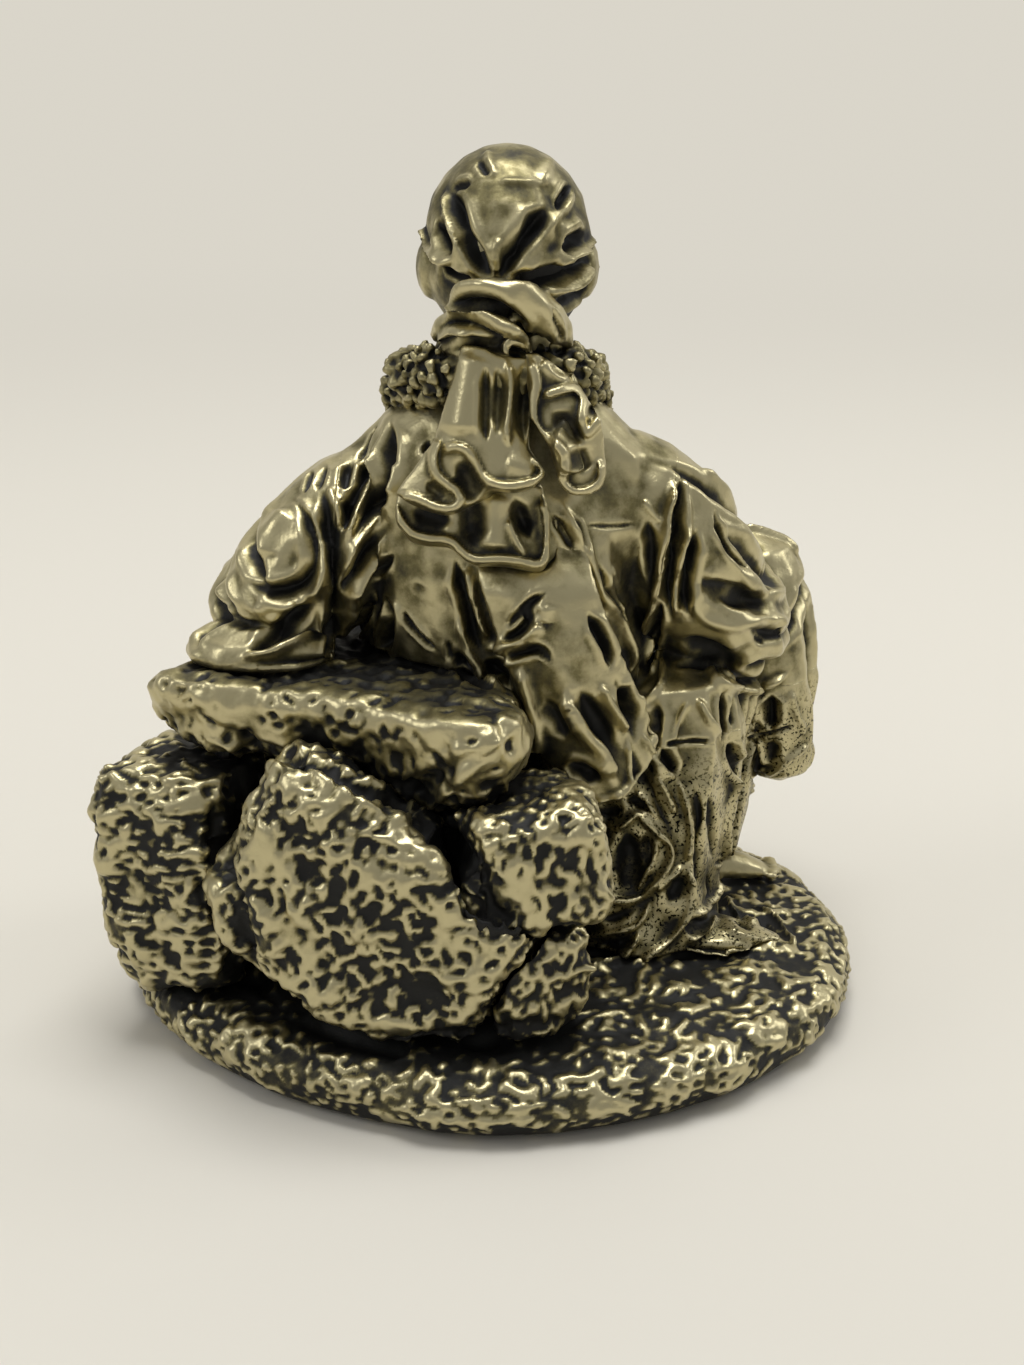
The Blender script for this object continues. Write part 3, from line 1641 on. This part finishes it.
@dataclass
class Studio:
    """The pale sweep that the statue stands on, the soft lamps and the camera, in metres."""

    half_wide: float = 3.0
    near: float = -1.6
    # The way forward and up of each part of the sweep: its floor, one step of its curve and its backdrop.
    floor: tuple[float, float] = (3.2, 0.0)
    curve: tuple[float, float] = (0.11, 0.02)
    curve_steps: int = 14
    backdrop: tuple[float, float] = (0.05, 2.5)
    hung: tuple[Lamp, ...] = (
        Lamp("lamp_overhead", (0.05, 0.1, 1.0), 0.6, 6.4),
        Lamp("lamp_left", (-0.9, -0.3, 0.7), 0.4, 1.6),
        Lamp("lamp_right", (0.9, 0.3, 0.6), 0.4, 1.5),
    )
    aim: tuple[float, float, float] = (0, 0, 0.05)

    def __post_init__(self) -> None:
        """Builds the studio."""
        self.sweep()
        self.lamps()
        self.room()
        self.camera()

    def sweep(self) -> None:
        """Makes the floor and backdrop as one curved sheet."""
        form = bmesh.new()
        start = [form.verts.new((x, self.near, 0)) for x in (-self.half_wide, self.half_wide)]
        rail = form.edges.new(start)
        along, rise = self.curve
        curve = [(along, rise + rise * step) for step in range(self.curve_steps)]
        for forward, up in (self.floor, *curve, self.backdrop):
            made = bmesh.ops.extrude_edge_only(form, edges=[rail])
            new = [v for v in made["geom"] if isinstance(v, bmesh.types.BMVert)]
            bmesh.ops.translate(form, verts=new, vec=(0, forward, up))
            edges = [e for e in made["geom"] if isinstance(e, bmesh.types.BMEdge)]
            rail = next(e for e in edges if all(v in new for v in e.verts))
        bmesh.ops.recalc_face_normals(form, faces=form.faces)
        mesh = bpy.data.meshes.new("studio_sweep")
        form.to_mesh(mesh)
        form.free()
        for face in mesh.polygons:
            face.use_smooth = True
        piece = link(bpy.data.objects.new("studio_sweep", mesh))
        mesh.materials.append(self.paper())

    @staticmethod
    def paper() -> bpy.types.Material:
        """Makes the paper, which takes shadows near the statue and shines evenly far behind it.

        Returns:
            The material.
        """
        finish = Finish("studio paper")
        finish.shader.inputs["Base Color"].default_value = (0.73, 0.70, 0.625, 1)
        finish.shader.inputs["Roughness"].default_value = 0.9
        far = finish.mapped(finish.axis("Y"), interpolation_type="SMOOTHSTEP", From_Min=0.08, From_Max=0.7)
        glow = finish.add("ShaderNodeEmission", Color=(0.70, 0.668, 0.59, 1))
        both = finish.add("ShaderNodeMixShader")
        finish.join(far, both.inputs["Fac"])
        finish.join(finish.shader.outputs["BSDF"], both.inputs[1])
        finish.join(glow.outputs["Emission"], both.inputs[2])
        finish.join(both.outputs["Shader"], finish.nodes["Material Output"].inputs["Surface"])
        return finish.material

    def lamps(self) -> None:
        """Hangs the soft lamps."""
        for kind in self.hung:
            data = bpy.data.lights.new(kind.name, "AREA")
            data.size = kind.size
            data.energy = kind.power
            lamp = link(bpy.data.objects.new(kind.name, data))
            lamp.location = kind.at
            lamp.rotation_euler = (Vector(self.aim) - lamp.location).to_track_quat("-Z", "Y").to_euler()

    @staticmethod
    def room() -> None:
        """Sets the room's own light."""
        world = bpy.context.scene.world or bpy.data.worlds.new("room")
        bpy.context.scene.world = world
        world.use_nodes = True
        light = world.node_tree.nodes["Background"]
        light.inputs["Color"].default_value = (0.93, 0.92, 0.90, 1)
        light.inputs["Strength"].default_value = 0.40

    @staticmethod
    def camera() -> None:
        """Places the camera at the photograph's viewing angle."""
        data = bpy.data.cameras.new("camera")
        data.sensor_width = 36.0
        data.lens = EYE.focal * data.sensor_width / EYE.height
        data.clip_start = 0.01
        camera = link(bpy.data.objects.new("camera", data))
        camera.location = Vector(EYE.at) * MM
        camera.rotation_euler = (math.radians(90 - EYE.pitch), 0, 0)
        bpy.context.scene.camera = camera
        bpy.context.scene.view_settings.view_transform = "Standard"


STROKES: dict[Side, list[Stroke]] = {
    Side.PHOTO: [
        # Left sleeve.
        crease(0.85, 1.5, (244, 577), (262, 589), (285, 592), (303, 584), (314, 570), (317, 550), (313, 528),
               (304, 509), (292, 497)),
        ridge(0.5, 0.8, (295, 496), (308, 510), (318, 530), (322, 553), (321, 577), (312, 592), (296, 599)),
        ridge(2.3, 0.8, (288, 508), (270, 532), (262, 560)),
        ridge(0.6, 0.5, (326, 535), (328, 565), (327, 592)),
        crease(0.85, 1.5, (243, 652), (265, 643), (286, 626), (302, 611), (317, 602)),
        ridge(0.5, 1.0, (326, 594), (323, 617), (308, 636), (286, 648), (262, 654), (236, 658)),
        ridge(0.8, 0.4, (296, 601), (275, 606), (252, 610)),
        crease(1.0, 2.2, (322, 486), (327, 515), (332, 545), (336, 578), (337, 610), (333, 642), (322, 668)),
        well(1.61, 1.15, (337, 590), (338, 615), (334, 640), (325, 656)),
        well(0.8, 0.86, (215, 669), (250, 664), (290, 662), (330, 662), (370, 660), (410, 662), (445, 674),
             (478, 690)),
        crease(0.4, 0.6, (313, 468), (309, 482), (304, 494)),
        crease(0.4, 0.6, (326, 464), (322, 478), (317, 492)),
        # Left of the back.
        crease(0.35, 0.6, (378, 423), (367, 446), (357, 464)),
        crease(0.7, 1.6, (371, 452), (367, 474), (357, 494), (349, 512), (343, 531)),
        crease(0.6, 1.0, (350, 461), (346, 477), (346, 493)),
        ridge(0.4, 0.8, (377, 448), (374, 470), (366, 490), (358, 508), (350, 528), (346, 541)),
        crease(1.1, 2.0, (390, 418), (388, 450), (386, 474), (378, 497), (367, 518), (356, 538)),
        ridge(0.4, 0.9, (395, 502), (383, 511), (372, 522), (360, 537), (349, 550), (344, 565), (343, 580)),
        ridge(0.5, 0.7, (329, 486), (335, 505), (340, 530)),
        crease(0.5, 1.2, (347, 497), (347, 515), (344, 534)),
        crease(0.7, 1.7, (378, 532), (368, 551), (358, 567), (350, 584), (344, 602)),
        ridge(0.5, 0.7, (387, 534), (375, 556), (364, 574), (356, 590), (349, 604)),
        crease(0.45, 1.0, (394, 554), (382, 568), (367, 581)),
        ridge(0.5, 0.8, (372, 588), (378, 605), (374, 622), (362, 637), (347, 647)),
        crease(0.85, 1.6, (368, 602), (362, 614), (351, 631)),
        crease(0.85, 1.8, (384, 596), (391, 616), (388, 637), (375, 657)),
        crease(0.35, 0.9, (401, 608), (411, 626), (425, 641), (440, 653)),
        crease(0.35, 0.6, (448, 640), (451, 662)),
        ridge(0.5, 0.7, (396, 462), (394, 480), (392, 496)),
        crease(0.4, 0.9, (428, 438), (426, 458), (427, 476)),
        # Sash, its upper part.
        crease(0.6, 1.6, (454, 556), (460, 585), (468, 613), (477, 640), (485, 656)),
        ridge(0.5, 1.0, (467, 562), (473, 590), (481, 618), (490, 641)),
        ridge(0.6, 0.8, (457, 616), (466, 648), (480, 672), (505, 695)),
        crease(0.8, 1.3, (453, 648), (466, 672), (487, 691)),
        crease(0.9, 1.7, (483, 660), (497, 672), (513, 692)),
        crease(0.4, 0.9, (551, 589), (533, 601), (518, 616), (506, 633)),
        crease(0.5, 1.2, (533, 602), (527, 620), (518, 634), (499, 642)),
        ridge(0.8, 1.2, (484, 650), (500, 647), (518, 642), (534, 634), (542, 620)),
        crease(0.45, 1.2, (492, 659), (516, 655), (534, 648), (546, 654), (553, 666)),
        ridge(0.9, 0.7, (547, 604), (544, 624)),
        crease(0.6, 1.8, (587, 612), (598, 631), (608, 650), (612, 670)),
        ridge(0.65, 1.1, (559, 498), (572, 521), (585, 545), (592, 570), (600, 594), (614, 617), (627, 638),
              (634, 660), (625, 679)),
        crease(0.4, 1.1, (551, 513), (564, 533), (575, 552)),
        crease(0.35, 0.9, (571, 513), (581, 533), (588, 557)),
        crease(0.4, 0.9, (597, 558), (605, 584), (617, 611), (631, 631)),
        ridge(1.2, 0.4, (611, 563), (617, 588), (624, 614)),
        crease(0.25, 0.35, (583, 525), (610, 526), (638, 524)),
        # Folds between the sash and the right sleeve.
        crease(0.6, 0.8, (646, 516), (651, 548), (649, 588)),
        ridge(0.3, 0.5, (642, 499), (651, 511), (661, 523)),
        ridge(0.6, 1.1, (673, 470), (669, 515), (664, 556), (657, 594), (649, 629), (645, 659), (648, 675)),
        ridge(0.35, 0.9, (666, 630), (661, 650), (655, 668), (648, 677)),
        crease(0.5, 1.7, (662, 598), (656, 625), (652, 652), (649, 668)),
        crease(0.65, 2.0, (684, 468), (678, 510), (673, 550), (669, 590), (671, 624)),
        ridge(0.4, 0.8, (662, 654), (663, 678), (656, 693), (640, 705)),
        ridge(0.4, 0.6, (640, 699), (648, 707), (642, 719)),
        crease(0.9, 1.5, (634, 684), (628, 700), (640, 722)),
        # Right sleeve.
        ridge(0.5, 1.0, (691, 520), (683, 547), (677, 572), (675, 594), (677, 619)),
        crease(0.75, 1.8, (699, 526), (691, 551), (685, 575), (684, 598), (692, 619)),
        ridge(0.9, 0.8, (693, 578), (695, 604), (708, 620), (735, 626), (760, 621), (787, 618)),
        well(1.09, 1.08, (716, 597), (735, 600), (755, 599), (770, 594)),
        ridge(1.0, 0.7, (699, 572), (728, 575), (758, 582), (776, 588)),
        crease(0.45, 1.3, (713, 508), (720, 532), (730, 552), (743, 564), (758, 575)),
        well(2.18, 1.08, (676, 640), (697, 644), (716, 652), (733, 668)),
        ridge(0.55, 1.1, (704, 661), (711, 677), (724, 687), (748, 690), (771, 684), (790, 671)),
        crease(0.5, 1.5, (711, 662), (724, 676), (744, 681), (766, 677)),
        crease(0.3, 0.5, (754, 638), (764, 644)),
        crease(0.3, 0.5, (778, 632), (786, 627)),
        # Cloth over the knee.
        crease(0.8, 1.6, (771, 694), (772, 712), (771, 730)),
        ridge(0.5, 0.6, (790, 690), (795, 712), (806, 735)),
        crease(0.22, 0.7, (724, 738), (755, 736), (776, 731), (802, 722)),
        well(0.92, 0.86, (773, 738), (771, 752), (768, 764)),
        ridge(0.5, 0.7, (750, 779), (772, 772), (792, 757), (810, 742)),
        # Skirt, its upper panels.
        well(1.03, 1.08, (656, 702), (655, 722), (652, 744)),
        ridge(0.5, 0.8, (696, 697), (707, 717), (719, 738)),
        ridge(0.35, 0.6, (690, 699), (679, 720), (672, 742)),
        crease(0.22, 0.8, (657, 746), (690, 741), (719, 741)),
        crease(0.6, 1.7, (724, 690), (722, 714), (723, 742)),
        well(0.57, 1.08, (733, 695), (732, 715), (731, 732)),
        ridge(0.4, 0.8, (758, 694), (756, 713), (752, 731)),
        ridge(0.3, 0.5, (738, 731), (745, 734), (753, 731)),
        crease(0.8, 1.6, (728, 742), (734, 760), (742, 777)),
        ridge(0.35, 0.8, (753, 739), (748, 759), (742, 780)),
        ridge(0.35, 0.8, (758, 737), (762, 752), (766, 766)),
        ridge(0.3, 0.6, (743, 781), (755, 773), (766, 767)),
        # Skirt, its long folds.
        ridge(0.3, 0.9, (640, 732), (652, 752), (665, 768), (677, 779)),
        crease(0.7, 1.6, (659, 748), (668, 762), (677, 776)),
        ridge(0.5, 1.1, (676, 777), (684, 795), (690, 815), (692, 836), (689, 856), (683, 865)),
        well(0.86, 1.08, (629, 742), (635, 763), (643, 783), (657, 803), (667, 822), (673, 840)),
        ridge(0.3, 0.8, (634, 792), (649, 804), (660, 820)),
        ridge(0.4, 0.6, (657, 778), (668, 796), (676, 816)),
        well(0.75, 1.37, (693, 783), (697, 808), (699, 838), (698, 868), (695, 900)),
        well(1.03, 1.01, (708, 790), (712, 815), (714, 842), (713, 862)),
        ridge(0.6, 1.0, (734, 768), (732, 795), (728, 820), (725, 843), (722, 863)),
        crease(0.25, 0.7, (714, 863), (730, 861)),
        ridge(0.3, 0.6, (744, 780), (739, 808), (734, 838), (729, 862)),
        ridge(0.4, 0.9, (721, 870), (718, 890), (708, 905), (693, 917)),
        well(0.57, 0.94, (706, 872), (710, 890), (705, 904)),
        ridge(0.45, 1.1, (688, 861), (690, 885), (689, 906), (680, 926), (665, 943), (645, 956), (624, 966)),
        ridge(0.35, 0.9, (656, 892), (668, 879), (685, 864)),
        well(1.03, 1.15, (682, 873), (677, 889), (667, 905)),
        # Hem and the cloth over the foot.
        ridge(0.4, 0.9, (723, 894), (736, 914), (751, 925), (762, 926)),
        ridge(0.4, 0.8, (750, 904), (772, 914), (788, 933), (800, 951)),
        ridge(0.35, 0.8, (722, 928), (744, 938), (768, 943), (790, 946)),
        well(0.57, 0.86, (727, 906), (738, 920), (752, 932)),
        well(0.46, 0.72, (757, 916), (770, 928), (782, 940)),
        ridge(0.4, 0.8, (685, 940), (700, 936), (711, 927), (716, 915)),
        crease(0.7, 1.3, (683, 929), (699, 924), (711, 918)),
        well(0.8, 0.94, (640, 973), (690, 950), (740, 953), (797, 963)),
        # Ring of cloth below the sash.
        ridge(0.5, 1.2, (599, 821), (614, 829), (628, 822), (636, 812), (646, 818), (656, 832), (668, 841),
              (672, 853), (665, 870), (655, 885), (641, 897), (622, 902), (604, 895), (591, 876)),
        well(1.44, 1.44, (625, 828), (631, 850), (630, 872), (620, 890)),
        well(0.8, 1.37, (643, 832), (648, 852), (643, 872)),
        ridge(0.4, 0.9, (657, 838), (652, 861), (644, 880), (634, 894)),
        ridge(0.3, 0.7, (631, 772), (631, 787), (611, 796), (590, 800)),
        well(0.8, 1.01, (596, 810), (611, 813), (624, 806)),
        well(0.69, 0.94, (622, 800), (638, 801), (650, 813)),
        ridge(0.35, 0.9, (577, 938), (604, 933), (632, 928), (645, 915), (651, 899)),
        well(0.86, 1.22, (572, 950), (602, 949), (630, 940), (640, 926)),
        ridge(0.5, 1.1, (574, 969), (601, 966), (620, 958), (633, 945), (641, 930)),
        well(0.57, 0.72, (596, 922), (618, 917), (638, 907)),
        # Sash, its lower end.
        ridge(0.7, 1.0, (520, 664), (525, 688), (532, 710), (538, 735), (541, 760)),
        crease(0.8, 0.8, (545, 698), (556, 718), (567, 740)),
        ridge(0.8, 1.2, (564, 686), (572, 714), (586, 736), (601, 753), (608, 768), (620, 779)),
        well(1.09, 1.3, (580, 688), (591, 711), (604, 733), (613, 752)),
        ridge(0.5, 1.1, (600, 683), (609, 704), (619, 721), (628, 734)),
        well(1.03, 1.3, (613, 674), (624, 697), (634, 721), (635, 746)),
        crease(0.8, 1.4, (562, 768), (583, 771), (602, 782)),
        ridge(0.3, 0.8, (627, 738), (629, 759), (630, 780), (622, 790), (606, 796)),
        # Cap.
        crease(0.95, 1.6, (452, 186), (458, 214), (466, 237), (478, 258), (493, 281)),
        crease(1.0, 1.6, (549, 204), (535, 227), (522, 246), (511, 262), (499, 281)),
        ridge(0.45, 0.5, (497, 236), (497, 274)),
        ridge(0.6, 0.9, (446, 188), (450, 214), (457, 240), (468, 260), (480, 278)),
        crease(1.0, 1.5, (436, 218), (443, 238), (452, 258)),
        ridge(0.5, 1.0, (424, 223), (428, 242), (440, 256), (456, 261)),
        crease(0.5, 1.2, (441, 262), (455, 272), (473, 284)),
        ridge(0.6, 0.8, (574, 192), (560, 212), (545, 230), (531, 248), (517, 265), (506, 279)),
        crease(0.5, 1.1, (571, 184), (563, 198), (555, 214)),
        crease(0.9, 1.4, (585, 232), (572, 244), (560, 251)),
        ridge(0.55, 1.0, (594, 236), (580, 250), (566, 260), (552, 266)),
        crease(0.9, 1.7, (594, 256), (572, 268), (552, 274), (530, 280), (502, 283)),
        ridge(0.8, 1.1, (592, 266), (575, 278), (558, 287), (542, 293)),
        crease(0.8, 1.3, (590, 285), (575, 295), (557, 303)),
        ridge(0.6, 0.4, (487, 150), (490, 165), (496, 178)),
        ridge(0.8, 0.4, (550, 158), (548, 172), (540, 181)),
        ridge(0.5, 0.3, (498, 181), (520, 182), (550, 183)),
        crease(0.5, 0.7, (452, 187), (462, 186), (472, 183)),
        crease(0.4, 0.5, (478, 160), (484, 170), (490, 176)),
        # Roll.
        ridge(1.3, 0.9, (446, 304), (460, 294), (480, 290), (500, 290), (520, 291), (535, 300), (548, 318),
              (558, 338), (565, 352)),
        crease(0.8, 1.7, (444, 307), (468, 301), (490, 304), (507, 314), (520, 327), (531, 346)),
        crease(0.3, 0.9, (547, 306), (556, 325), (563, 344)),
        ridge(0.75, 1.0, (436, 319), (448, 310), (462, 309), (478, 314), (493, 319), (508, 328), (526, 342)),
        crease(0.5, 1.4, (438, 329), (455, 320), (469, 323), (485, 330), (501, 340), (522, 347)),
        ridge(0.55, 0.9, (439, 341), (450, 331), (463, 327), (476, 329)),
        crease(1.1, 1.8, (446, 352), (480, 347), (520, 350), (563, 357)),
        # Gaps between the rocks.
        crease(2.3, 2.2, (372, 768), (412, 802), (452, 850), (488, 903), (522, 948), lip=0.1),
        crease(1.6, 1.7, (212, 790), (222, 850), (232, 900), (248, 960), (280, 1008), lip=0.1),
        crease(1.6, 1.3, (275, 1010), (330, 1029), (395, 1045), (460, 1041), (520, 1031), (575, 1018),
               lip=0.1),
        crease(0.8, 1.0, (474, 845), (480, 868), (490, 892)),
        # Lower edge of the slab.
        ridge(0.8, 0.8, (187, 737), (214, 739), (247, 756), (289, 775), (310, 777), (343, 797), (377, 814),
              (397, 822), (418, 810), (443, 793), (472, 768), (503, 752)),
        crease(1.1, 1.1, (196, 723), (224, 727), (258, 743), (297, 761), (330, 773), (362, 788), (396, 799),
               (424, 785), (455, 763), (490, 745)),
    ],
    Side.FRONT: [
        # Brows, eyes under lowered lids, nose and mouth: a calm, plain face.
        *pair(ridge(0.6, 0.35, (0.7, 88.9), (-0.6, 89.6), (-2.2, 89.4), (-3.6, 88.5))),
        *pair(crease(0.3, 0.35, (0.3, 87.0), (-0.7, 87.7), (-1.9, 87.7), (-3.2, 86.9))),
        *pair(ridge(0.75, 0.35, (0.3, 86.8), (-1.3, 86.9), (-2.9, 86.7))),
        *pair(crease(0.24, 0.4, (0.4, 86.5), (-0.8, 86.0), (-2.0, 86.0), (-3.2, 86.6))),
        *pair(ridge(0.45, 0.35, (0.6, 83.8), (0.4, 83.3), (0.8, 82.9))),
        *pair(crease(0.24, 0.25, (0.0, 84.2), (-0.4, 83.4), (0.1, 82.6))),
        crease(0.26, 0.5, (-1.2, 81.0), (0.3, 80.8), (1.6, 80.6), (2.9, 80.8), (4.4, 81.0)),
        ridge(0.4, 0.35, (-0.6, 81.3), (1.0, 81.6), (1.6, 81.5), (2.2, 81.6), (3.8, 81.3)),
        ridge(0.5, 0.4, (-0.2, 80.0), (1.6, 79.7), (3.4, 80.0)),
        crease(0.4, 0.25, (0.4, 78.9), (1.6, 78.8), (2.8, 78.9)),
        # Folds of the scarf over the forehead.
        crease(0.5, 0.8, (-5.0, 92.0), (-2.0, 94.4), (2.0, 95.0), (6.0, 93.6)),
        crease(0.5, 0.8, (-3.0, 96.6), (1.0, 96.2), (5.0, 94.6), (8.2, 91.5)),
        ridge(0.6, 0.5, (-4.4, 94.4), (-1.0, 96.0), (3.0, 95.8), (6.8, 93.6)),
        # Band round the waist.
        ridge(1.1, 1.1, (-13, 37.5), (-4, 36.6), (5, 36.6), (13, 37.5)),
        crease(0.5, 1.0, (-13, 39.8), (-4, 38.9), (5, 38.9), (13, 39.8)),
        crease(0.3, 0.5, (-10, 36.8), (-3, 36.0), (4, 36.2), (10, 37.0)),
        # Wrap of the robe over the chest.
        lap(0.9, 0.7, (-11, 66), (-7, 58), (-1, 48), (5, 40)),
        crease(1.0, 1.2, (14, 66), (11, 57), (6, 48), (2, 40)),
        crease(1.1, 1.3, (17, 60), (14, 51), (8, 42)),
        crease(0.8, 1.0, (-14, 60), (-13, 50), (-9, 41)),
        crease(0.9, 1.1, (-17, 52), (-15, 44), (-11, 37)),
        ridge(0.8, 0.7, (12, 60), (9, 50), (4, 42)),
        ridge(0.8, 0.7, (-12, 54), (-10, 46), (-6, 39)),
        # Lap, from knee to knee.
        crease(1.2, 1.5, (2, 36), (-2, 30), (-8, 25), (-15, 22)),
        crease(1.1, 1.4, (5, 34), (4, 26), (0, 20), (-6, 16)),
        crease(1.0, 1.3, (9, 36), (14, 33), (20, 35), (26, 40)),
        crease(1.1, 1.4, (8, 31), (14, 27), (20, 28), (27, 33)),
        crease(1.2, 1.3, (8, 26), (13, 21), (17, 16), (19, 11)),
        ridge(0.9, 0.8, (7, 29), (12, 25), (18, 24), (25, 28)),
        ridge(0.9, 0.8, (0, 33), (-4, 28), (-11, 24)),
        # Cloth over the shin that stands, and its hem.
        crease(0.9, 1.1, (30, 48), (32, 40), (33, 31), (33, 22)),
        crease(0.8, 1.0, (35, 47), (37, 38), (38, 28), (38, 20)),
        ridge(0.8, 0.7, (33, 45), (35, 35), (36, 24)),
        ridge(0.6, 0.8, (31, 19), (34, 18), (38, 18), (41, 19)),
        # Cloth over the leg that lies along the front, and its hem.
        crease(1.0, 1.3, (-24, 17), (-16, 18), (-8, 16), (0, 13)),
        crease(0.9, 1.1, (-22, 12), (-14, 12), (-6, 11), (2, 10)),
        crease(0.8, 1.0, (-18, 21), (-10, 21), (-4, 18)),
        ridge(0.9, 0.7, (-21, 15), (-12, 15), (-3, 13)),
        ridge(0.5, 0.8, (6, 14), (5, 11), (5, 8)),
    ],
    Side.LEFT: [
        # Upper arm, elbow and forearm.
        crease(1.1, 1.3, (5, 66), (0, 60), (-7, 56), (-12, 52)),
        crease(1.0, 1.2, (8, 62), (3, 56), (-4, 52), (-11, 47)),
        crease(1.1, 1.3, (-12, 45), (-6, 48), (0, 52), (4, 58)),
        crease(1.0, 1.2, (-10, 42), (-3, 44), (4, 48), (10, 51)),
        crease(0.9, 1.0, (2, 44), (9, 46), (15, 49)),
        ridge(0.8, 0.7, (-11, 49), (-3, 50), (4, 54)),
        ridge(0.8, 0.7, (0, 46), (7, 48), (14, 51)),
        ridge(0.6, 0.8, (18, 53), (19, 49), (19, 45)),
        # Leg along the front.
        crease(1.0, 1.2, (36, 16), (30, 18), (23, 17)),
        crease(0.9, 1.0, (35, 11), (28, 12), (22, 11)),
    ],
    Side.RIGHT: [
        # Upper arm, elbow and forearm.
        crease(1.1, 1.3, (-4, 66), (0, 60), (5, 55), (9, 52)),
        crease(1.2, 1.4, (-5, 59), (0, 52), (6, 49), (13, 50)),
        crease(1.0, 1.2, (-5, 47), (2, 43), (9, 45), (16, 49)),
        crease(0.9, 1.1, (-3, 41), (4, 39), (10, 41)),
        ridge(0.8, 0.7, (-4, 53), (2, 48), (9, 47)),
        ridge(0.8, 0.7, (0, 64), (5, 58), (8, 55)),
        ridge(0.6, 0.8, (20, 56), (21, 52), (21, 47)),
        # Skirt between the sleeve and the ground.
        crease(1.2, 1.4, (8, 38), (5, 29), (3, 19), (1, 10)),
        crease(1.1, 1.3, (12, 36), (11, 27), (8, 17), (5, 9)),
        crease(0.9, 1.0, (3, 36), (0, 27), (-3, 18)),
        ridge(0.9, 0.8, (10, 35), (8, 25), (5, 14)),
        # Thigh and shin.
        crease(1.0, 1.2, (27, 50), (22, 45), (16, 42), (12, 37)),
        crease(1.0, 1.2, (27, 45), (24, 38), (23, 29), (22, 20)),
        crease(0.9, 1.0, (20, 44), (18, 36), (17, 27), (15, 19)),
        ridge(0.8, 0.7, (25, 46), (21, 40), (20, 30), (19, 20)),
        ridge(0.6, 0.8, (13, 20), (17, 18), (22, 18), (26, 19)),
    ],
}


def main() -> None:
    """Builds the statue's looks and the studio."""
    logging.basicConfig(level=logging.INFO, format="%(name)s: %(message)s")
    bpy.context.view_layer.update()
    finishes = Finishes()
    rocks, robe, head, limbs = Rocks(), Robe(), Head(), Limbs()
    pieces = [*rocks.pieces.values(), robe.robe, robe.sash, *head.pieces.values(), *limbs.pieces.values()]
    sculptor = Sculptor(pieces, STROKES)
    shade = Shade(pieces)
    rocks.finish(sculptor, shade, finishes)
    robe.finish(sculptor, shade, finishes)
    head.finish(sculptor, shade, finishes)
    limbs.finish(sculptor, shade, finishes)
    Underside().finish(finishes)
    Studio()


if __name__ == "__main__":
    main()
